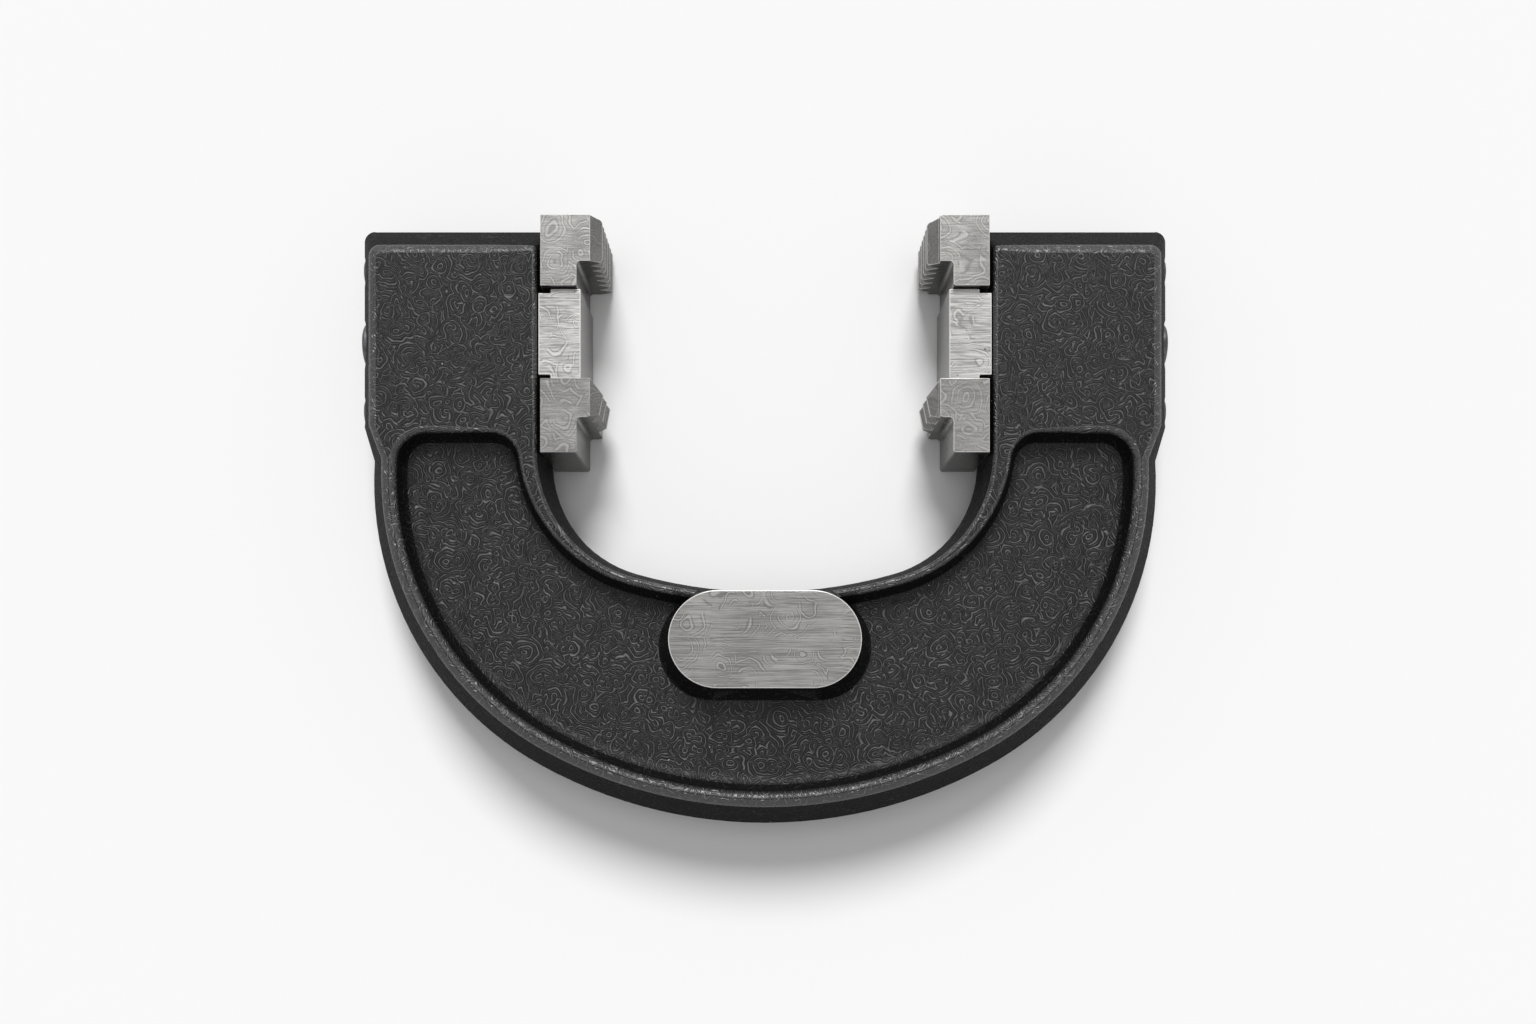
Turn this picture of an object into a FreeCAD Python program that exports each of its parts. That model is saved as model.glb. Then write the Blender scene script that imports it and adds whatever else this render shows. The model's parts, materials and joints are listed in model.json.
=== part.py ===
"""Adjustable thread caliper gauge: a horseshoe frame with a GO and a NOT-GO pair of thread anvils.

The gauge lies flat on its back. X runs from arm to arm, Y from the bow to the mouth, and Z is up,
out of the front face. The origin is the middle of the footprint, on the resting face.
Lengths are in millimetres and angles in degrees.
"""

import FreeCAD, Part
import math
import os
import Sketcher

# Driving dimensions: name, value, meaning.
DRIVING = [
    ("frame_thickness", 20.5, "casting, back face to front face"),
    ("parting_band", 3.0, "upright band round the frame's widest outline"),
    ("side_draft", 3.2, "how far an arm's face edge lies inside its widest outline"),
    ("top_draft", 5.5, "the same at the end of an arm"),
    ("bow_draft", 3.8, "the same round the outside of the bow"),
    ("throat_draft", 1.4, "the same round the throat"),
    ("arm_half_width", 74.5, "middle of the gauge to an arm's outer end"),
    ("arm_top", 55.0, "middle of the gauge to the ends of the arms"),
    ("arm_corner", 2.0, "outer corner radius at an arm's end"),
    ("arm_inner_corner", 1.0, "inner corner radius at an arm's end"),
    ("shoulder_height", 18.6, "start of the shoulder below an arm's outer end"),
    ("shoulder_drop", 6.2, "height of that shoulder"),
    ("shoulder_draft", 1.3, "how far the shoulder lies lower on the faces"),
    ("bow_half_width", 72.8, "middle of the gauge to the side of the bow"),
    ("bow_depth", 55.0, "middle of the gauge to the bottom of the bow"),
    ("bow_side_radius", 60.14, "outside radius at the side of the bow"),
    ("bow_bottom_radius", 86.55, "outside radius at the bottom of the bow"),
    ("throat_half_width", 39.9, "half the width of the throat"),
    ("throat_depth", 12.0, "middle of the gauge to the bottom of the throat"),
    ("throat_side_radius", 22.0, "throat radius at its sides"),
    ("throat_bottom_radius", 88.0, "throat radius at its bottom"),
    ("outer_rim", 2.2, "land left outside the recess"),
    ("inner_rim", 1.3, "land left between the recess and the throat"),
    ("recess_depth", 5.0, "face down to the web"),
    ("recess_top", 16.2, "upper end of the recess in an arm"),
    ("recess_inner", 44.3, "inner side of the recess at that end"),
    ("recess_corner", 5.4, "corner radius of the recess"),
    ("recess_cove_depth", 2.6, "depth where the wall starts to curve into the web"),
    ("recess_wall_lean", 0.5, "how far the wall has come in at that depth"),
    ("recess_cove", 3.3, "how far the wall has come in at the web"),
    ("plate_length", 34.9, "plate, end to end"),
    ("plate_width", 17.65, "plate, across"),
    ("plate_thickness", 0.7, "plate, front to back"),
    ("plate_drop", 21.3, "middle of the gauge down to the middle of the plate"),
    ("plate_overhang", 0.3, "how far the plate stands past its boss"),
    ("boss_draft", 2.4, "how much wider the boss is at the web"),
    ("face_proud", 0.7, "how far plate and anvils stand out of the front face"),
    ("seat_half_gap", 40.4, "middle of the gauge to an anvil seat"),
    ("seat_bottom", 11.0, "lower end of the machined seats"),
    ("anvil_depth", 21.0, "anvil, back to front"),
    ("thread_diameter", 62.0, "nominal diameter of the thread that the gauge checks"),
    ("thread_pitch", 3.0, "its pitch"),
    ("root_clearance", 0.5, "anvil roots past the nominal thread radius"),
    ("no_go_step", 0.12, "how much closer a NOT-GO ridge stands than a GO ridge"),
    ("no_go_ridges", 3, "most ridges on a NOT-GO anvil, two pitches apart"),
    ("crest_flat", 0.33, "flat on a ridge"),
    ("go_top", 55.0, "upper end of a GO anvil"),
    ("go_head_bottom", 46.7, "underside of its ridged head"),
    ("go_bottom", 42.3, "lower end of its stem"),
    ("no_go_top", 25.6, "upper end of a NOT-GO anvil"),
    ("no_go_head_bottom", 18.6, "underside of its ridged head"),
    ("no_go_bottom", 12.3, "lower end of its stem"),
    ("stem_face", 33.9, "middle of the gauge to the side of a stem"),
    ("stem_fillet", 0.7, "fillet between head and stem"),
    ("stem_corner", 0.5, "corner radius of a stem"),
    ("ridge_end", 0.5, "how far a GO ridge slopes back at its upper end"),
    ("ridge_round", 0.8, "rounding at that end"),
    ("nose_height", 4.2, "underside of a NOT-GO head up to the nose of its ridges"),
    ("block_middle", 33.975, "height of the clamp blocks' centres"),
    ("block_height", 16.25, "clamp block, along the arm"),
    ("block_face", 33.3, "middle of the gauge to a block's face"),
    ("block_shoulder", 38.8, "middle of the gauge to a block's shoulder"),
    ("block_depth", 19.0, "clamp block, back to front"),
    ("tongue_height", 14.8, "its tongue, along the arm"),
    ("tongue_reach", 0.6, "how deep the tongue goes into the arm"),
    ("tongue_gap", 0.05, "gap beside the tongue in its keyway"),
    ("go_shank_height", 47.5, "height of a GO anvil's shank"),
    ("no_go_shank_height", 21.5, "height of a NOT-GO anvil's shank"),
    ("shank_diameter", 7.0, "anvil shank"),
    ("shank_length", 14.5, "shank, seat to end"),
    ("shank_fit", 0.02, "radial clearance of a shank in its bore"),
    ("anvil_travel", 1.5, "how far an anvil can be set inwards"),
    ("shank_flat", 0.8, "depth of the flat for the locking pad"),
    ("flat_spare", 0.4, "length of that flat past what the pad and the travel need"),
    ("flat_margin", 1.5, "round stretch between the flat and the shank's end"),
    ("thread_gap", 0.05, "radial gap round a screw in its tapped hole"),
    ("adjuster_diameter", 6.0, "tapped hole behind a shank"),
    ("adjuster_length", 19.5, "adjusting screw"),
    ("adjuster_socket", 3.0, "its socket, across flats"),
    ("adjuster_socket_depth", 3.0, "depth of that socket"),
    ("lock_diameter", 5.0, "tapped hole of a locking screw"),
    ("lock_travel", 0.8, "how far a locking screw backs off before it is flush"),
    ("lock_socket", 2.5, "its socket, across flats"),
    ("lock_socket_depth", 2.2, "depth of that socket"),
    ("pad_thickness", 2.0, "locking pad"),
    ("clamp_diameter", 5.0, "clamp screw"),
    ("clamp_hole_gap", 0.25, "radial gap round the clamp screw in the arm"),
    ("clamp_engagement", 5.5, "clamp screw inside its block"),
    ("clamp_hole_spare", 1.0, "tapped hole past the clamp screw's end"),
    ("clamp_head_diameter", 8.5, "clamp screw's head"),
    ("clamp_head_height", 5.0, "height of that head"),
    ("clamp_head_seat", 5.1, "an arm's outer end in to the counterbore's floor"),
    ("clamp_head_gap", 0.3, "radial gap round that head"),
    ("clamp_socket", 4.0, "its socket, across flats"),
    ("clamp_socket_depth", 2.6, "depth of that socket"),
    ("screw_chamfer", 0.4, "chamfer on the ends of the screws"),
]

# Values that follow from the driving dimensions: name, formula.
# Each of the two U curves is a bottom arc and a side arc that meet tangentially.
DERIVED = [
    ("middle", "=sizes.frame_thickness / 2"),
    ("band_low", "=middle - sizes.parting_band / 2"),
    ("band_high", "=middle + sizes.parting_band / 2"),
    ("bow_x", "=sizes.bow_half_width - sizes.bow_side_radius"),
    ("bow_span", "=sizes.bow_bottom_radius - sizes.bow_side_radius"),
    ("bow_drop", "=sqrt(bow_span^2 - bow_x^2)"),
    ("bow_centre", "=sizes.bow_bottom_radius - sizes.bow_depth"),
    ("bow_side_height", "=bow_centre - bow_drop"),
    ("throat_x", "=sizes.throat_half_width - sizes.throat_side_radius"),
    ("throat_span", "=sizes.throat_bottom_radius - sizes.throat_side_radius"),
    ("throat_drop", "=sqrt(throat_span^2 - throat_x^2)"),
    ("throat_centre", "=sizes.throat_bottom_radius - sizes.throat_depth"),
    ("throat_side_height", "=throat_centre - throat_drop"),
    ("rim_radius", "=sizes.throat_bottom_radius + sizes.throat_draft + sizes.inner_rim"),
    ("rim_x", "=throat_x / throat_span * rim_radius"),
    ("rim_y", "=throat_centre - throat_drop / throat_span * rim_radius"),
    ("chord_x", "=sizes.recess_inner - rim_x"),
    ("chord_y", "=sizes.recess_top - sizes.recess_corner - rim_y"),
    ("chord_rise", "=(chord_y * throat_drop - chord_x * throat_x) / throat_span"),
    ("recess_side_radius", "=(chord_x^2 + chord_y^2) / (2 * chord_rise)"),
    ("plate_radius", "=sizes.plate_width / 2"),
    ("plate_straight", "=sizes.plate_length / 2 - plate_radius"),
    ("boss_top", "=sizes.frame_thickness + sizes.face_proud - sizes.plate_thickness"),
    ("anvil_front", "=sizes.frame_thickness + sizes.face_proud"),
    ("anvil_back", "=anvil_front - sizes.anvil_depth"),
    ("root_face", "=sizes.thread_diameter / 2 + sizes.root_clearance"),
    ("ridge_tip", "=sizes.thread_diameter / 2 - 0.5413 * sizes.thread_pitch"),
    ("keyway_floor", "=sizes.seat_half_gap + sizes.tongue_reach"),
    ("bore_end", "=sizes.seat_half_gap + sizes.shank_length"),
    ("flat_level", "=middle - sizes.shank_diameter / 2 + sizes.shank_flat"),
    ("pad_level", "=flat_level - sizes.pad_thickness"),
    ("flat_end", "=bore_end - sizes.flat_margin"),
    ("flat_start", "=flat_end - sizes.lock_diameter - 2 * sizes.anvil_travel - sizes.flat_spare"),
    ("lock_place", "=(flat_start + flat_end) / 2"),
    ("lock_length", "=pad_level - sizes.lock_travel"),
    ("clamp_tip", "=keyway_floor - sizes.clamp_engagement"),
    ("clamp_seat", "=sizes.arm_half_width - sizes.clamp_head_seat"),
    ("clamp_length", "=clamp_seat - clamp_tip"),
    ("block_back", "=middle - sizes.block_depth / 2"),
]

SIDE_NAMES = {-1: "left", 1: "right"}
FLANK_ANGLE = math.radians(30)
COVE_STEPS = 4
ROUNDING = 1e-6
PLANE_NAMES = {"front": "XY_Plane", "side": "YZ_Plane", "top": "XZ_Plane"}
SOLIDS = []

doc = FreeCAD.newDocument("thread_caliper_gauge")
sizes = doc.addObject("Spreadsheet::Sheet", "sizes")
derived = doc.addObject("Spreadsheet::Sheet", "derived")


def fill_sheets():
    """Put the driving dimensions and the formulas that follow from them in their sheets."""
    for row, (name, number, meaning) in enumerate(DRIVING, start=1):
        sizes.set(f"A{row}", meaning)
        sizes.set(f"B{row}", str(number))
        sizes.setAlias(f"B{row}", name)
    doc.recompute()
    for row, (name, formula) in enumerate(DERIVED, start=1):
        derived.set(f"A{row}", name)
        derived.set(f"B{row}", formula)
        derived.setAlias(f"B{row}", name)
    doc.recompute()


def value(expression):
    """The number that an expression on the sheets has now."""
    return float(derived.evalExpression(str(expression)))


def plane(body, view):
    """The body's own origin plane for a view."""
    for feature in body.Origin.OriginFeatures:
        if feature.Role == PLANE_NAMES[view]:
            return feature
    raise ValueError(f"no plane for {view}")


def new_sketch(body, name, view, level):
    """An empty sketch on one of the body's planes, moved along the plane's normal to a level."""
    sketch = body.newObject("Sketcher::SketchObject", name)
    sketch.AttachmentSupport = [(plane(body, view), "")]
    sketch.MapMode = "FlatFace"
    sketch.setExpression(".AttachmentOffset.Base.z", level)
    return sketch


def arc_between(start, end, radius, turn):
    """An arc from start to end with its centre on the left (turn 1) or on the right (turn -1)."""
    chord = end - start
    half = chord.Length / 2
    rise = math.sqrt(max(radius * radius - half * half, 0.0))
    left = FreeCAD.Vector(-chord.y, chord.x, 0).normalize()
    centre = start + chord * 0.5 + left * (rise * turn)
    first, last = (start, end) if turn > 0 else (end, start)
    angles = [math.atan2(point.y - centre.y, point.x - centre.x) for point in (first, last)]
    if angles[1] <= angles[0]:
        angles[1] += 2 * math.pi
    circle = Part.Circle(centre, FreeCAD.Vector(0, 0, 1), radius)
    return Part.ArcOfCircle(circle, angles[0], angles[1])


def closed_outline(sketch, corners, arcs=None):
    """Draw a closed outline through corners.

    Each corner is a pair of expressions. arcs maps an edge's number to its radius and turn, and the
    other edges are straight.
    """
    arcs = arcs or {}
    points = [FreeCAD.Vector(value(x), value(y), 0) for x, y in corners]
    count = len(corners)
    ends = []
    for edge in range(count):
        start = points[edge]
        end = points[(edge + 1) % count]
        if edge in arcs:
            radius, turn = arcs[edge]
            number = sketch.addGeometry(arc_between(start, end, value(radius), turn), False)
            bound = sketch.addConstraint(Sketcher.Constraint("Radius", number, value(radius)))
            sketch.setExpression(f"Constraints[{bound}]", str(radius))
            ends.append((number, 1, 2) if turn > 0 else (number, 2, 1))
        else:
            number = sketch.addGeometry(Part.LineSegment(start, end), False)
            ends.append((number, 1, 2))
    for edge in range(count):
        number, _, last = ends[edge]
        following, first, _ = ends[(edge + 1) % count]
        sketch.addConstraint(Sketcher.Constraint("Coincident", number, last, following, first))
    for edge, (number, first, _) in enumerate(ends):
        for kind, text, place in zip(("DistanceX", "DistanceY"), corners[edge], points[edge]):
            bound = sketch.addConstraint(Sketcher.Constraint(kind, -1, 1, number, first, place))
            sketch.setExpression(f"Constraints[{bound}]", str(text))


def circle_at(sketch, x, y, radius):
    """Draw a circle whose centre and radius are expressions."""
    centre = FreeCAD.Vector(value(x), value(y), 0)
    circle = Part.Circle(centre, FreeCAD.Vector(0, 0, 1), value(radius))
    number = sketch.addGeometry(circle, False)
    for kind, text in (("DistanceX", x), ("DistanceY", y)):
        bound = sketch.addConstraint(Sketcher.Constraint(kind, -1, 1, number, 3, value(text)))
        sketch.setExpression(f"Constraints[{bound}]", str(text))
    bound = sketch.addConstraint(Sketcher.Constraint("Radius", number, value(radius)))
    sketch.setExpression(f"Constraints[{bound}]", str(radius))


def box_corners(x_low, y_low, x_high, y_high):
    """The corners of an upright rectangle, from four expressions."""
    return [(x_low, y_low), (x_high, y_low), (x_high, y_high), (x_low, y_high)]


def pad(body, sketch, length, back=False):
    """Extrude a sketch along its normal, or against it."""
    feature = body.newObject("PartDesign::Pad", f"{sketch.Name}_pad")
    feature.Profile = sketch
    feature.setExpression("Length", length)
    feature.Reversed = back
    return feature


def pocket(body, sketch, length=None, along=False, both=False):
    """Cut a sketch to a length, or all the way, and check that it took material away."""
    doc.recompute()
    before = body.Shape.Volume
    feature = body.newObject("PartDesign::Pocket", f"{sketch.Name}_cut")
    feature.Profile = sketch
    feature.Reversed = along
    if both:
        feature.SideType = "Symmetric"
    if length is None:
        feature.Type = "ThroughAll"
    else:
        feature.setExpression("Length", length)
    doc.recompute()
    if not body.Shape.Volume < before - ROUNDING:
        raise ValueError(f"{sketch.Name} cuts nothing")
    return feature


def ruled_loft(body, kind, sketches):
    """A ruled loft through sketches, added to the body or cut from it."""
    feature = body.newObject(f"PartDesign::{kind}Loft", f"{sketches[0].Name}_loft")
    feature.Profile = sketches[0]
    feature.Sections = sketches[1:]
    feature.Ruled = True
    return feature


def new_body(label):
    """A body that is one piece of the gauge."""
    body = doc.addObject("PartDesign::Body", label)
    body.Label = label
    SOLIDS.append(body)
    return body


def side_of_bow(radius, height):
    """Where the side arc of the bow, or one beside it, is at a height."""
    return f"derived.bow_x + sqrt({radius}^2 - ({height} - derived.bow_side_height)^2)"


def frame_outline(draft):
    """Half of the frame's outline; draft is 0 at the parting plane and 1 on the faces."""
    bow_bottom = f"(sizes.bow_bottom_radius - {draft} * sizes.bow_draft)"
    bow_side = f"(sizes.bow_side_radius - {draft} * sizes.bow_draft)"
    throat_bottom = f"(sizes.throat_bottom_radius + {draft} * sizes.throat_draft)"
    throat_side = f"(sizes.throat_side_radius + {draft} * sizes.throat_draft)"
    arm_face = f"sizes.arm_half_width - {draft} * sizes.side_draft"
    arm_end = f"sizes.arm_top - {draft} * sizes.top_draft"
    arm_inner = f"sizes.throat_half_width + {draft} * sizes.throat_draft"
    shoulder = f"sizes.shoulder_height - {draft} * sizes.shoulder_draft"
    waist = f"{shoulder} - sizes.shoulder_drop"
    corners = [
        ("0", f"-sizes.bow_depth + {draft} * sizes.bow_draft"),
        (f"derived.bow_x / derived.bow_span * {bow_bottom}",
         f"derived.bow_centre - derived.bow_drop / derived.bow_span * {bow_bottom}"),
        (side_of_bow(bow_side, waist), waist),
        (arm_face, shoulder),
        (arm_face, f"{arm_end} - sizes.arm_corner"),
        (f"{arm_face} - sizes.arm_corner", arm_end),
        (f"{arm_inner} + sizes.arm_inner_corner", arm_end),
        (arm_inner, f"{arm_end} - sizes.arm_inner_corner"),
        (arm_inner, "derived.throat_side_height"),
        (f"derived.throat_x / derived.throat_span * {throat_bottom}",
         f"derived.throat_centre - derived.throat_drop / derived.throat_span * {throat_bottom}"),
        ("0", f"-sizes.throat_depth - {draft} * sizes.throat_draft"),
    ]
    arcs = {
        0: (bow_bottom, 1),
        1: (bow_side, 1),
        4: ("sizes.arm_corner", 1),
        6: ("sizes.arm_inner_corner", 1),
        8: (throat_side, -1),
        9: (throat_bottom, -1),
    }
    return corners, arcs


def recess_outline(inset):
    """Half of the recess's outline, drawn in by an inset from its edge on the face."""
    bow_bottom = f"(sizes.bow_bottom_radius - sizes.bow_draft - sizes.outer_rim - {inset})"
    bow_side = f"(sizes.bow_side_radius - sizes.bow_draft - sizes.outer_rim - {inset})"
    rim = f"(derived.rim_radius + {inset})"
    corner = f"(sizes.recess_corner - {inset})"
    start = "(sizes.recess_top - sizes.recess_corner)"
    side = side_of_bow(bow_side, start)
    corners = [
        ("0", f"derived.bow_centre - {bow_bottom}"),
        (f"derived.bow_x / derived.bow_span * {bow_bottom}",
         f"derived.bow_centre - derived.bow_drop / derived.bow_span * {bow_bottom}"),
        (side, start),
        (f"{side} - {corner}", f"sizes.recess_top - {inset}"),
        ("sizes.recess_inner + sizes.recess_corner", f"sizes.recess_top - {inset}"),
        (f"sizes.recess_inner + {inset}", start),
        (f"derived.throat_x / derived.throat_span * {rim}",
         f"derived.throat_centre - derived.throat_drop / derived.throat_span * {rim}"),
        ("0", f"derived.throat_centre - {rim}"),
    ]
    arcs = {
        0: (bow_bottom, 1),
        1: (bow_side, 1),
        2: (corner, 1),
        4: (corner, 1),
        5: (f"(derived.recess_side_radius + {inset})", -1),
        6: (rim, -1),
    }
    return corners, arcs


def boss_outline(grow, centre):
    """Half of the boss's outline, grown from the plate's on the side away from the throat."""
    radius = f"(derived.plate_radius - sizes.plate_overhang + {grow} / 2)"
    straight = f"(derived.plate_straight + {grow} / 2)"
    corners = [
        ("0", f"{centre} - {radius}"),
        (straight, f"{centre} - {radius}"),
        (f"{straight} + {radius}", centre),
        (straight, f"{centre} + {radius}"),
        ("0", f"{centre} + {radius}"),
    ]
    return corners, {1: (radius, 1), 2: (radius, 1)}


def build_frame():
    """The casting: one half with its recesses, boss, seats and holes, and its mirror image."""
    half = doc.addObject("PartDesign::Body", "frame_half")
    sections = []
    levels = [("back", "0", 1), ("band_low", "derived.band_low", 0),
              ("band_high", "derived.band_high", 0), ("face", "sizes.frame_thickness", 1)]
    for name, level, draft in levels:
        sketch = new_sketch(half, f"outline_{name}", "front", level)
        closed_outline(sketch, *frame_outline(draft))
        sections.append(sketch)
    ruled_loft(half, "Additive", sections)
    doc.recompute()

    steps = [("0", "0")]
    for step in range(COVE_STEPS + 1):
        angle = 90 * step / COVE_STEPS
        steps.append((
            "(sizes.recess_cove_depth + (sizes.recess_depth - sizes.recess_cove_depth)"
            f" * sin({angle}))",
            "(sizes.recess_wall_lean + (sizes.recess_cove - sizes.recess_wall_lean)"
            f" * (1 - cos({angle})))"))
    for side, base, sign in (("front", "sizes.frame_thickness", "-"), ("back", "0", "+")):
        sections = []
        for number, (depth, inset) in enumerate(steps):
            sketch = new_sketch(half, f"recess_{side}_{number}", "front", f"{base} {sign} {depth}")
            closed_outline(sketch, *recess_outline(inset))
            sections.append(sketch)
        before = half.Shape.Volume
        ruled_loft(half, "Subtractive", sections)
        doc.recompute()
        if not half.Shape.Volume < before:
            raise ValueError(f"the {side} recess cuts nothing")

    foot = new_sketch(half, "boss_foot", "front", "sizes.frame_thickness - sizes.recess_depth")
    closed_outline(foot, *boss_outline("sizes.boss_draft",
                                       "(-sizes.plate_drop - sizes.boss_draft / 2)"))
    crown = new_sketch(half, "boss_crown", "front", "derived.boss_top")
    closed_outline(crown, *boss_outline("0", "(-sizes.plate_drop)"))
    ruled_loft(half, "Additive", [foot, crown])

    seat = new_sketch(half, "seat", "front", "0")
    closed_outline(seat, box_corners("sizes.throat_half_width / 2", "sizes.seat_bottom",
                                     "sizes.seat_half_gap", "2 * sizes.arm_top"))
    pocket(half, seat, along=True)
    keyway = new_sketch(half, "keyway", "front", "0")
    reach = "(sizes.tongue_height / 2 + sizes.tongue_gap)"
    closed_outline(keyway, box_corners("sizes.throat_half_width / 2",
                                       f"sizes.block_middle - {reach}", "derived.keyway_floor",
                                       f"sizes.block_middle + {reach}"))
    pocket(half, keyway, along=True)

    for name in ("go", "no_go"):
        height = f"sizes.{name}_shank_height"
        bore = new_sketch(half, f"{name}_bore", "side", "0")
        circle_at(bore, height, "derived.middle", "sizes.shank_diameter / 2 + sizes.shank_fit")
        pocket(half, bore, "derived.bore_end", along=True)
        tapping = new_sketch(half, f"{name}_adjuster_hole", "side", "0")
        circle_at(tapping, height, "derived.middle", "sizes.adjuster_diameter / 2")
        pocket(half, tapping, along=True)
        lock = new_sketch(half, f"{name}_lock_hole", "front", "0")
        circle_at(lock, "derived.lock_place", height, "sizes.lock_diameter / 2")
        pocket(half, lock, "derived.middle", along=True)

    shaft = new_sketch(half, "clamp_hole", "side", "0")
    circle_at(shaft, "sizes.block_middle", "derived.middle",
              "sizes.clamp_diameter / 2 + sizes.clamp_hole_gap")
    pocket(half, shaft, along=True)
    head = new_sketch(half, "clamp_counterbore", "side", "derived.clamp_seat")
    circle_at(head, "sizes.block_middle", "derived.middle",
              "sizes.clamp_head_diameter / 2 + sizes.clamp_head_gap")
    pocket(half, head, along=True)

    other = doc.addObject("Part::Mirroring", "frame_other_half")
    other.Source = half
    other.Normal = FreeCAD.Vector(1, 0, 0)
    whole = doc.addObject("Part::MultiFuse", "frame")
    whole.Shapes = [half, other]
    whole.Refine = True
    SOLIDS.append(whole)


def build_plate():
    """The bare plate on the boss."""
    body = new_body("plate")
    sketch = new_sketch(body, "plate_outline", "front", "derived.boss_top")
    low = "-sizes.plate_drop - derived.plate_radius"
    high = "-sizes.plate_drop + derived.plate_radius"
    end = "(derived.plate_straight + derived.plate_radius)"
    corners = [
        ("-derived.plate_straight", low),
        ("derived.plate_straight", low),
        (end, "-sizes.plate_drop"),
        ("derived.plate_straight", high),
        ("-derived.plate_straight", high),
        (f"-{end}", "-sizes.plate_drop"),
    ]
    radius = "derived.plate_radius"
    closed_outline(sketch, corners, {edge: (radius, 1) for edge in (1, 2, 4, 5)})
    pad(body, sketch, "sizes.plate_thickness")


def go_outline():
    """A GO anvil seen from the front, ridge tips included: corners and arcs."""
    tip = "derived.ridge_tip"
    corners = [
        ("sizes.seat_half_gap", "sizes.go_top"),
        ("derived.root_face", "sizes.go_top"),
        (f"{tip} + sizes.ridge_round", "sizes.go_top - sizes.ridge_end"),
        (tip, "sizes.go_top - sizes.ridge_end - sizes.ridge_round"),
        (tip, "sizes.go_head_bottom + sizes.stem_fillet"),
        (f"{tip} + sizes.stem_fillet", "sizes.go_head_bottom"),
        ("sizes.stem_face - sizes.stem_fillet", "sizes.go_head_bottom"),
        ("sizes.stem_face", "sizes.go_head_bottom - sizes.stem_fillet"),
        ("sizes.stem_face", "sizes.go_bottom + sizes.stem_corner"),
        ("sizes.stem_face + sizes.stem_corner", "sizes.go_bottom"),
        ("sizes.seat_half_gap", "sizes.go_bottom"),
    ]
    arcs = {
        2: ("sizes.ridge_round", 1),
        4: ("sizes.stem_fillet", 1),
        6: ("sizes.stem_fillet", -1),
        8: ("sizes.stem_corner", 1),
    }
    return corners, arcs


def no_go_outline():
    """A NOT-GO anvil seen from the front, ridge tips included: corners and arcs."""
    tip = "(derived.ridge_tip - sizes.no_go_step)"
    corners = [
        ("sizes.seat_half_gap", "sizes.no_go_top"),
        ("derived.root_face", "sizes.no_go_top"),
        (tip, "sizes.no_go_head_bottom + sizes.nose_height"),
        (f"{tip} + sizes.stem_fillet", "sizes.no_go_head_bottom + sizes.stem_fillet"),
        ("derived.root_face + sizes.stem_fillet", "sizes.no_go_head_bottom"),
        ("sizes.stem_face - sizes.stem_fillet", "sizes.no_go_head_bottom"),
        ("sizes.stem_face", "sizes.no_go_head_bottom - sizes.stem_fillet"),
        ("sizes.stem_face", "sizes.no_go_bottom + sizes.stem_corner"),
        ("sizes.stem_face + sizes.stem_corner", "sizes.no_go_bottom"),
        ("sizes.seat_half_gap", "sizes.no_go_bottom"),
    ]
    arcs = {5: ("sizes.stem_fillet", -1), 7: ("sizes.stem_corner", 1)}
    return corners, arcs


def to_side(side, corners, arcs):
    """An outline drawn for the right arm, turned over for the left one where side is -1."""
    if side > 0:
        return corners, arcs
    corners = [(f"-({x})", y) for x, y in corners]
    arcs = {edge: (radius, -turn) for edge, (radius, turn) in arcs.items()}
    return corners, arcs


def cut_grooves(body, label, side, tip, ridges, spacing):
    """Cut an anvil's head back to its roots between ridges, which run straight up and down.

    ridges is a list of their depths behind the front face, in pitches, and spacing is in pitches too.
    """
    lean = math.tan(FLANK_ANGLE)
    sketch = new_sketch(body, f"{label}_grooves", "top", "0")
    before = "(2 * sizes.anvil_depth)"
    between = f"({spacing} * sizes.thread_pitch - sizes.crest_flat)"
    grooves = [(f"{ridges[0]} * sizes.thread_pitch - ({before} + sizes.crest_flat) / 2", before)]
    for ridge in ridges[:-1]:
        grooves.append((f"({ridge} + {spacing} / 2) * sizes.thread_pitch", between))
    grooves.append((f"{ridges[-1]} * sizes.thread_pitch + ({before} + sizes.crest_flat) / 2", before))
    for depth, width in grooves:
        level = f"(derived.anvil_front - ({depth}))"
        outer = f"({width} / 2)"
        inner = f"({outer} - (derived.root_face - {tip}) * {lean:.6f})"
        clear = f"({tip} - sizes.thread_pitch)"
        corners = [
            ("derived.root_face", f"{level} - {inner}"),
            ("derived.root_face", f"{level} + {inner}"),
            (tip, f"{level} + {outer}"),
            (clear, f"{level} + {outer}"),
            (clear, f"{level} - {outer}"),
            (tip, f"{level} - {outer}"),
        ]
        closed_outline(sketch, *to_side(side, corners, {}))
    pocket(body, sketch, both=True)


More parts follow.
